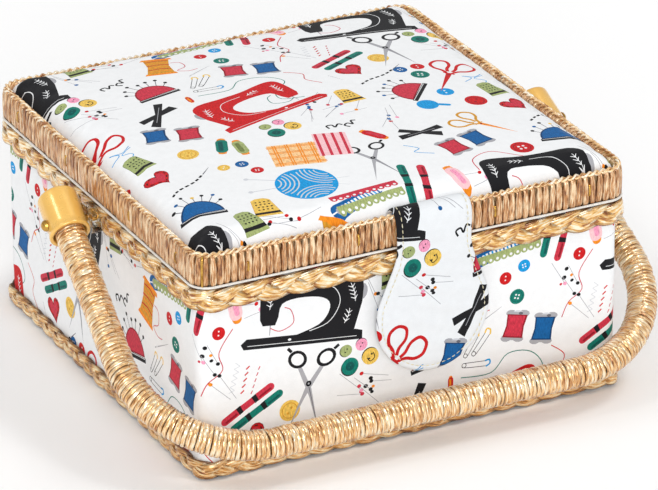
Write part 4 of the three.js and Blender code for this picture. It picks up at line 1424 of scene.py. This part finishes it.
def ferrule_profile():
    """Radius and place along the arm: domed end, rounded shoulder, straight wall, lip and bore."""
    r, end, mouth = FERRULE_RADIUS, FERRULE_END, FERRULE_MOUTH
    edge = r - FERRULE_ROUND
    rows = [(0.0, end), (r * 0.5, end + 0.02), (edge, end + 0.12)]
    for a in np.linspace(0.3, math.pi / 2, 6):
        rows.append((edge + FERRULE_ROUND * math.sin(a), end + 2.3 - FERRULE_ROUND * math.cos(a)))
    rows += [(r, end + 6), (r + 0.05, mouth - 5), (r, mouth - 2.3), (r + 0.28, mouth - 1.7)]
    rows += [(r + 0.36, mouth - 0.9), (r + 0.24, mouth - 0.25), (r - 0.2, mouth), (FERRULE_BORE + 0.3, mouth)]
    return rows + [(FERRULE_BORE, mouth - 0.3), (FERRULE_BORE, mouth - 3), (FERRULE_BORE, end + 3)]


def add_ferrules():
    line, across, _ = handle_line(2001)
    angle = angles(FERRULE_SIDES)
    for side, word in ((-1, "left"), (1, "right")):
        start, further = (line[0], line[20]) if side < 0 else (line[-1], line[-21])
        along = unit(further - start)
        pivot = np.array([side * PIVOT_X, PIVOT.y, PIVOT.z])
        around_arm = np.cos(angle)[:, None] * across + np.sin(angle)[:, None] * np.cross(along, across)
        rows = [pivot + along * place + around_arm * max(radius, 0.01) for radius, place in ferrule_profile()]
        faces = grid_faces(len(rows), FERRULE_SIDES, False, True)
        piece = make_piece(f"ferrule_shell_{word}", np.vstack(rows), faces, GOLD, "handle")
        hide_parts(f"ferrule_{word}")


STAPLES = (-100, -35, 47, 105)  # along each side of the rim, before they are spread
STAPLE_SPREAD = 1.05
STAPLE_LIFT = (7.5, 9.5)  # lowest and highest middle of a staple above the rim's foot
STAPLE_HEIGHT, STAPLE_WIDTH, STAPLE_THICK = 6.0, 1.3, 0.56
STAPLE_BEND = [  # outward offset, and height as a share of the staple's
    (-1.2, -0.5), (0.7, -0.5), (1.15, -0.36), (1.25, 0.0), (1.15, 0.36), (0.7, 0.5), (-1.2, 0.5),
]
STAPLE_SIDES = 8


def add_staples():
    """Brass staples that pin the winding to its hoop, each a rounded bar bent over at both ends."""
    quarter = perimeter(RIM_HALF, CORNER) / 4
    rings_each = len(STAPLE_BEND)
    wide, thick = [STAPLE_WIDTH / 2] * rings_each, [STAPLE_THICK / 2] * rings_each
    staples = Bundle()
    for turn in range(4):
        for place in STAPLES:
            s = place * (RIM_HALF - CORNER) / RIM_HALF * STAPLE_SPREAD + turn * quarter
            xy, normal = around(np.array([s]), RIM_HALF, CORNER)
            run = np.array([normal[0, 0], normal[0, 1], 0.0])
            side = np.array([-normal[0, 1], normal[0, 0], 0.0])
            base = np.array([xy[0, 0], xy[0, 1], RIM_LOW.z + rng.uniform(*STAPLE_LIFT)])
            path = np.array([base + run * out + UP * STAPLE_HEIGHT * up for out, up in STAPLE_BEND])
            along = headings(path)
            sideways = np.broadcast_to(side, along.shape)
            staples.add(tube_rings(path, sideways, np.cross(along, sideways), wide, thick, STAPLE_SIDES))
    staples.make("rim_staples", BRASS, "lid", "brass")


GILT_RINGS, GILT_SIDES = 24, 10
GILT_PLACE = 6.5  # past the end of the front's straight run
GILT_WIDE, GILT_DEEP = 0.6, 0.3


def add_gilt_strand():
    """One gilded strand that closes the winding at the front left corner."""
    out, z, _ = rim_section(np.linspace(0.3, 0.78, GILT_RINGS))
    place = np.full(GILT_RINGS, -(RIM_HALF - CORNER) - GILT_PLACE)
    xy, normal = around(place, RIM_HALF, CORNER)
    path = flat_to_space(xy + normal * (out + 0.95)[:, None], z)
    sideways = flat_to_space(np.stack([-normal[:, 1], normal[:, 0]], -1), 0.0)
    wide, deep = np.full(GILT_RINGS, GILT_WIDE), np.full(GILT_RINGS, GILT_DEEP)
    rings = tube_rings(path, sideways, np.cross(headings(path), sideways), wide, deep, GILT_SIDES)
    faces = grid_faces(GILT_RINGS, GILT_SIDES, False, True)
    make_piece("gilt_strand", rings, faces, BRASS, "lid")


# ---- Flap ------------------------------------------------------------------------------------------------
FLAP_SHIFT = (-106, -40)
FLAP_SHADE = (0.87, 0.885, 0.90)  # painted shade: the flap's cotton is made darker, and a little cooler, than the same cotton on the walls
FLAP_NECK = 22.0
FLAP_BULB = (FLAP_HIGH.x - FLAP_LOW.x) / 2
FLAP_FOOT = FLAP_LOW.z
FLAP_THICK = 1.25
FLAP_MESH = (3.0, 2.5)
STITCH_INSET = 3.0
FLAP_KNOTS = [  # place along Y from the rim's front face, and height
    (-3.6, FLAP_FOOT), (-3.2, 60), (-3.4, 85), (-4.4, 105), (-4.6, 120), (-3.6, 126.4), (-1.2, 129.6),
    (2.2, 130.4), (5.6, 128.6), (7.0, 126.4),
]
FLAP_RINGS = (0.35, 1.0, 2.1, STITCH_INSET, 4.0, 5.5)  # lines that the mesh follows inside the edge


def flap_outline(inset=0.0):
    """The flap's edge, flat, moved inwards by inset: straight neck, flare, and a round end."""
    lean = math.radians(18)
    bulb = FLAP_BULB - inset
    centre = FLAP_FOOT + FLAP_BULB
    neck = FLAP_NECK - inset
    touch = (bulb * math.cos(lean), centre + bulb * math.sin(lean))
    right = bend([(neck, 140 - inset), (neck, 122), (neck, 106), (touch[0] - 3.6, touch[1] + 9), touch], 8)
    turns = np.linspace(lean, -math.pi - lean, 60)[1:-1]
    arc = [(bulb * math.cos(a), centre + bulb * math.sin(a)) for a in turns]
    left = [(-x, y) for x, y in right[::-1]]
    return [(x + FLAP_X, y) for x, y in right + arc + left]


def flap_line():
    """The flap's run in the YZ plane from its foot over the rim to the seam, and the length at each point."""
    knots = [(y - RIM_HALF, z) for y, z in FLAP_KNOTS]
    line = np.array(bend(knots, 10))
    return line, FLAP_FOOT + lengths_along(line)


def flap_run(v, step=0.6):
    """Place and outward direction in the YZ plane at a length along the flap."""
    line, lengths = flap_line()

    def at(length):
        return np.interp(length, lengths, line[:, 0]), np.interp(length, lengths, line[:, 1])

    (y, z), (y_on, z_on), (y_back, z_back) = at(v), at(v + step), at(v - step)
    dy, dz = y_on - y_back, z_on - z_back
    norm = np.maximum(np.hypot(dy, dz), 1e-9)
    return y, z, -dz / norm, dy / norm


def flap_depth(u, v):
    """Distance inwards from the flap's edge."""
    edge = flap_outline()
    best = np.full(len(u), 1e9)
    for (ax, ay), (bx, by) in zip(edge, edge[1:] + edge[:1]):
        length = max((bx - ax) ** 2 + (by - ay) ** 2, 1e-12)
        t = np.clip(((u - ax) * (bx - ax) + (v - ay) * (by - ay)) / length, 0, 1)
        best = np.minimum(best, np.hypot(u - ax - t * (bx - ax), v - ay - t * (by - ay)))
    return best


FLAP_RUMPLE = waves(7, 9, 30, 31)


def flap_place(u, v, sign=1):
    """Points of the flap's front, or with sign -1 of its back, from its flat pattern."""
    y, z, ny, nz = flap_run(v)
    depth = flap_depth(u, v)
    body = FLAP_THICK * (1 - np.exp(-depth / 0.9)) + 0.25 * (1 - np.exp(-depth / 8))
    groove = 0.38 * np.exp(-((depth - STITCH_INSET) / 0.6) ** 2)
    gathers = 0.12 * np.sin(u * 2.1 + v * 2.3) * np.exp(-((depth - STITCH_INSET) / 1.6) ** 2)
    wave = 0.22 * FLAP_RUMPLE(u, v) * (1 - np.exp(-depth / 3)) + gathers
    lift = sign * (body - groove) + wave * (1 if sign > 0 else 0.3)
    return np.stack([u, y + ny * lift, z + nz * lift], -1)


def add_flap():
    """The flap: two printed sides that meet at its edge, sewn to the lid's front seam."""
    outline = flap_outline()
    rings = [flap_outline(inset) for inset in FLAP_RINGS]
    xs, ys = zip(*outline)
    low, high = (min(xs), min(ys)), (max(xs), max(ys))
    flat, triangles, colours = printed_sheet(low, high, FLAP_SHIFT, FLAP_MESH, outline, rings)
    inner = flap_depth(*flat.T) > 1e-3
    joined = np.arange(len(flat))
    joined[inner] = len(flat) + np.arange(inner.sum())
    points = np.vstack([flap_place(*flat.T), flap_place(*flat.T, -1)[inner]])
    faces = np.vstack([triangles, joined[triangles][:, ::-1]])
    # painted shade: every colour on the flap, front and back, is darkened a little
    inks = np.vstack([colours, np.tile(INKS["cloth"], (len(triangles), 1))]) * FLAP_SHADE
    piece = make_printed("flap_cotton", np.vstack([flat, flat[inner]]), faces, inks, points, None)
    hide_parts("flap_cloth", "flap_root")
    for part in (piece, add_flap_stitches()):
        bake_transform(part)


STITCH_PITCH, STITCH_LENGTH = 3.1, 2.2
STITCH_RADIUS = 0.30
STITCH_SIDES, STITCH_RINGS = 6, 5


def add_flap_stitches():
    """Topstitching: short thread dashes that lie in the sewn groove."""
    line = np.array(flap_outline(STITCH_INSET))
    lengths = lengths_along(line)
    thick = STITCH_RADIUS * np.sqrt(np.clip(1 - np.linspace(-1, 1, STITCH_RINGS) ** 2, 0.03, 1))
    stitching = Bundle()
    for k in range(int(lengths[-1] / STITCH_PITCH)):
        at = np.linspace(k * STITCH_PITCH, k * STITCH_PITCH + STITCH_LENGTH, STITCH_RINGS)
        u, v = np.interp(at, lengths, line[:, 0]), np.interp(at, lengths, line[:, 1])
        centre = flap_place(u, v)
        outward = unit(centre - flap_place(u, v, -1))
        side = np.cross(headings(centre), outward)
        stitching.add(tube_rings(centre + outward * 0.12, side, outward, thick, thick, STITCH_SIDES))
    return stitching.make("flap_topstitching", THREAD, None, "printed_cotton")


# ---- Soft pieces inside ----------------------------------------------------------------------------------
def closed_pad(upper, lower, rows, columns):
    """Points and faces of a closed pad: two grids of points, one over the other, joined round their edges."""
    points = np.vstack([upper.reshape(-1, 3), lower.reshape(-1, 3)])
    count = rows * columns
    top = grid_faces(rows, columns)
    bottom = grid_faces(rows, columns, first=count)[:, ::-1]
    edge = [*range(columns), *range(2 * columns - 1, count, columns)]
    edge += [*range(count - 2, count - columns - 1, -1), *range(count - 2 * columns, 0, -columns)]
    around_edge = np.array([(a, a + count, b + count, b) for a, b in zip(edge, edge[1:] + edge[:1])])
    return points, np.vstack([top, bottom, around_edge])


def pad_grid(low, high, rows, columns, corner):
    """A grid over a rectangle with rounded corners. Gives x, y and the share of the way in from the edge."""
    u = np.sin(np.linspace(-1, 1, rows) * math.pi / 2)[:, None] * np.ones((1, columns))
    v = np.sin(np.linspace(-1, 1, columns) * math.pi / 2)[None, :] * np.ones((rows, 1))
    half = ((high[0] - low[0]) / 2, (high[1] - low[1]) / 2)
    squeeze = 1 - (1 - math.sqrt(0.5)) * (corner / half[0]) * (u * v) ** 4
    lift = 1 - (1 - math.sqrt(0.5)) * (corner / half[1]) * (u * v) ** 4
    x = (low[0] + high[0]) / 2 + half[0] * u * squeeze
    y = (low[1] + high[1]) / 2 + half[1] * v * lift
    return x, y, np.clip((1 - np.abs(u) ** 4) * (1 - np.abs(v) ** 4), 0, 1)


def add_pad(name, node, rows, material, corner, seam, wrinkle, tufts=()):
    """A padded panel sewn to the lid's lining: flat above, swollen and tufted below.

    tufts are x, y and reach of each dimple, and seam is what the edge takes of the node's height."""
    low, high = size(node)
    height = high.z
    crown = high.z - low.z - seam
    x, y, share = pad_grid(low, high, *rows, corner)
    crease = wrinkle(x, y)
    swell = crown * share ** 0.5 * (1 + 0.10 * crease)
    for at_x, at_y, reach in tufts:
        swell *= 1 - 0.75 * np.exp(-((x - at_x) ** 2 + (y - at_y) ** 2) / reach ** 2)
    upper = np.stack([x, y, np.full_like(x, height)], -1)
    lower = np.stack([x, y, height - 0.3 - swell], -1)
    points, faces = closed_pad(lower, upper, *rows)
    piece = make_piece(name, points, faces[:, ::-1], material, "lid")
    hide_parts(node)


CORD_STEPS, CORD_SIDES = 360, 8
CORD_RADIUS = 0.6


def add_pocket_cord(low, high):
    """A twisted cord sewn round the pocket's edge."""
    turn = angles(CORD_STEPS)
    half = np.array([(high.x - low.x) / 2, (high.y - low.y) / 2])
    power = 0.16 + POCKET_CORNER / half.min() * 0.3
    rounded = [np.sign(wave) * np.abs(wave) ** power for wave in (np.cos(turn), np.sin(turn))]
    middle = np.array([(low.x + high.x) / 2, (low.y + high.y) / 2])
    centre = flat_to_space(np.stack(rounded, -1) * half + middle, high.z - 0.7)
    up = upwards(centre)
    thick = CORD_RADIUS * (1 + 0.08 * np.sin(np.arange(CORD_STEPS) * 2.1))
    rings = tube_rings(centre, np.cross(closed_headings(centre), up), up, thick, thick, CORD_SIDES)
    faces = grid_faces(CORD_STEPS, CORD_SIDES, True, True)
    make_piece("pocket_cord", rings, faces, CUSHION, "lid")


LINING_MESH = (420, 26)
LINING_SLACK = 0.28


def add_wall_lining():
    """Cloth on the inside of the walls, a little loose, turned over at its top edge."""
    low, high = size("wall_lining")
    inner = high.x - 0.8
    corner = max(1.0, CORNER - (RIM_HALF - inner))
    length = perimeter(inner, corner)
    columns, rows = LINING_MESH
    s = np.repeat(np.arange(columns) * length / columns, rows).reshape(columns, rows)
    z = np.broadcast_to(np.linspace(low.z, high.z, rows), (columns, rows))
    slack = waves(9, 20, 70, 51)
    xy, normal = around(s, inner, corner)
    fixed = np.sin(math.pi * (z - low.z) / (high.z - low.z)) ** 0.5
    depth = LINING_SLACK * (slack(s, z * 1.5) - 1.3) * fixed
    front = flat_to_space(xy + normal * np.minimum(depth, 0.0)[..., None], z)
    back = flat_to_space(xy + normal * 0.5, z)
    rings = np.concatenate([front, back[:, ::-1]], 1)
    faces = grid_faces(columns, 2 * rows, True, True)
    piece = make_piece("wall_lining_cloth", rings, faces, LINING, "box")
    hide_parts("wall_lining")


FLAT_CLOTH_MESH = 70
FLAT_CLOTH_CORNER = 6
FLAT_CLOTH_SAG = 0.2


def add_flat_cloth(name, node, material, body, seed):
    """A flat cloth in the place of its CAD node, with a soft surface and rounded edge."""
    low, high = size(node)
    rows = (FLAT_CLOTH_MESH, FLAT_CLOTH_MESH)
    x, y, share = pad_grid(low, high, *rows, FLAT_CLOTH_CORNER)
    drift = waves(8, 12, 60, seed)(x, y) * FLAT_CLOTH_SAG * share
    thick = (high.z - low.z) / 2
    middle = (low.z + high.z) / 2
    edge = thick * (0.3 + 0.7 * share ** 0.3)
    upper = np.stack([x, y, middle + edge - np.abs(drift) * 0.3], -1)
    lower = np.stack([x, y, middle - edge + np.abs(drift) * 0.3], -1)
    points, faces = closed_pad(upper, lower, *rows)
    piece = make_piece(name, points, faces, material, body)
    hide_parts(node)


def add_pincushion():
    low, high = size("lid_pincushion")
    tufts = [(low.x + (high.x - low.x) * k / 4, (low.y + high.y) / 2, 6.0) for k in (1, 2, 3)]
    quilt = waves(9, 6, 16, 71)
    add_pad("pincushion_pad", "lid_pincushion", (60, 40), CUSHION, 12, 0.6, quilt, tufts)


POCKET_CORNER = 6


def add_pocket():
    """A pocket whose cloth is gathered towards its open edge, with a cord round it."""
    low, high = size("lid_pocket")
    pleats = waves(7, 4, 9, 72)

    def gathered(x, y):
        open_edge = np.clip((y - low.y) / (high.y - low.y), 0, 1) ** 2
        return 2.6 * np.sin(x * 0.9 + 0.6 * pleats(x, y)) * open_edge

    add_pad("pocket_panel", "lid_pocket", (240, 36), POCKET, POCKET_CORNER, 0.9, gathered)
    add_pocket_cord(low, high)


def add_soft_inside():
    add_wall_lining()
    add_flat_cloth("floor_cloth", "floor_lining", LINING, "box", 61)
    add_flat_cloth("foot_felt", "bottom_felt", FELT, "box", 62)
    add_flat_cloth("lid_inner_cloth", "lid_lining", LINING, "lid", 63)
    add_pincushion()
    add_pocket()


# ---- Materials on the CAD pieces that stay ---------------------------------------------------------------
FINISHES = {  # material by the start of a node's name
    "base_board": BOARD, "wall_board": BOARD, "lid_panel": BOARD, "lid_frame": BOARD, "handle_core": BOARD,
    "upper_ledge": LINING, "lower_ledge": LINING, "upper_tray_shell": TRAY, "lower_tray_shell": TRAY,
    "catch_disc": STEEL, "flap_magnet": STEEL, "pivot_nut": STEEL, "pivot_bolt": BRASS, "hinge": BRASS,
    "pivot_block": CLEAR,
}


def paint_frame():
    for name, node in frame["nodes"].items():
        for start, material in FINISHES.items():
            if name.startswith(start):
                node.data.materials.clear()
                node.data.materials.append(material)


add_camera()
add_sky()
for softbox in SOFTBOXES:
    add_softbox(*softbox)
add_floor()
paint_frame()
add_wall_cover()
add_lid_top()
add_rim_winding()
add_edge_rope()
add_piping()
add_braids()
add_handle_winding()
add_ferrules()
add_staples()
add_gilt_strand()
add_flap()
add_soft_inside()
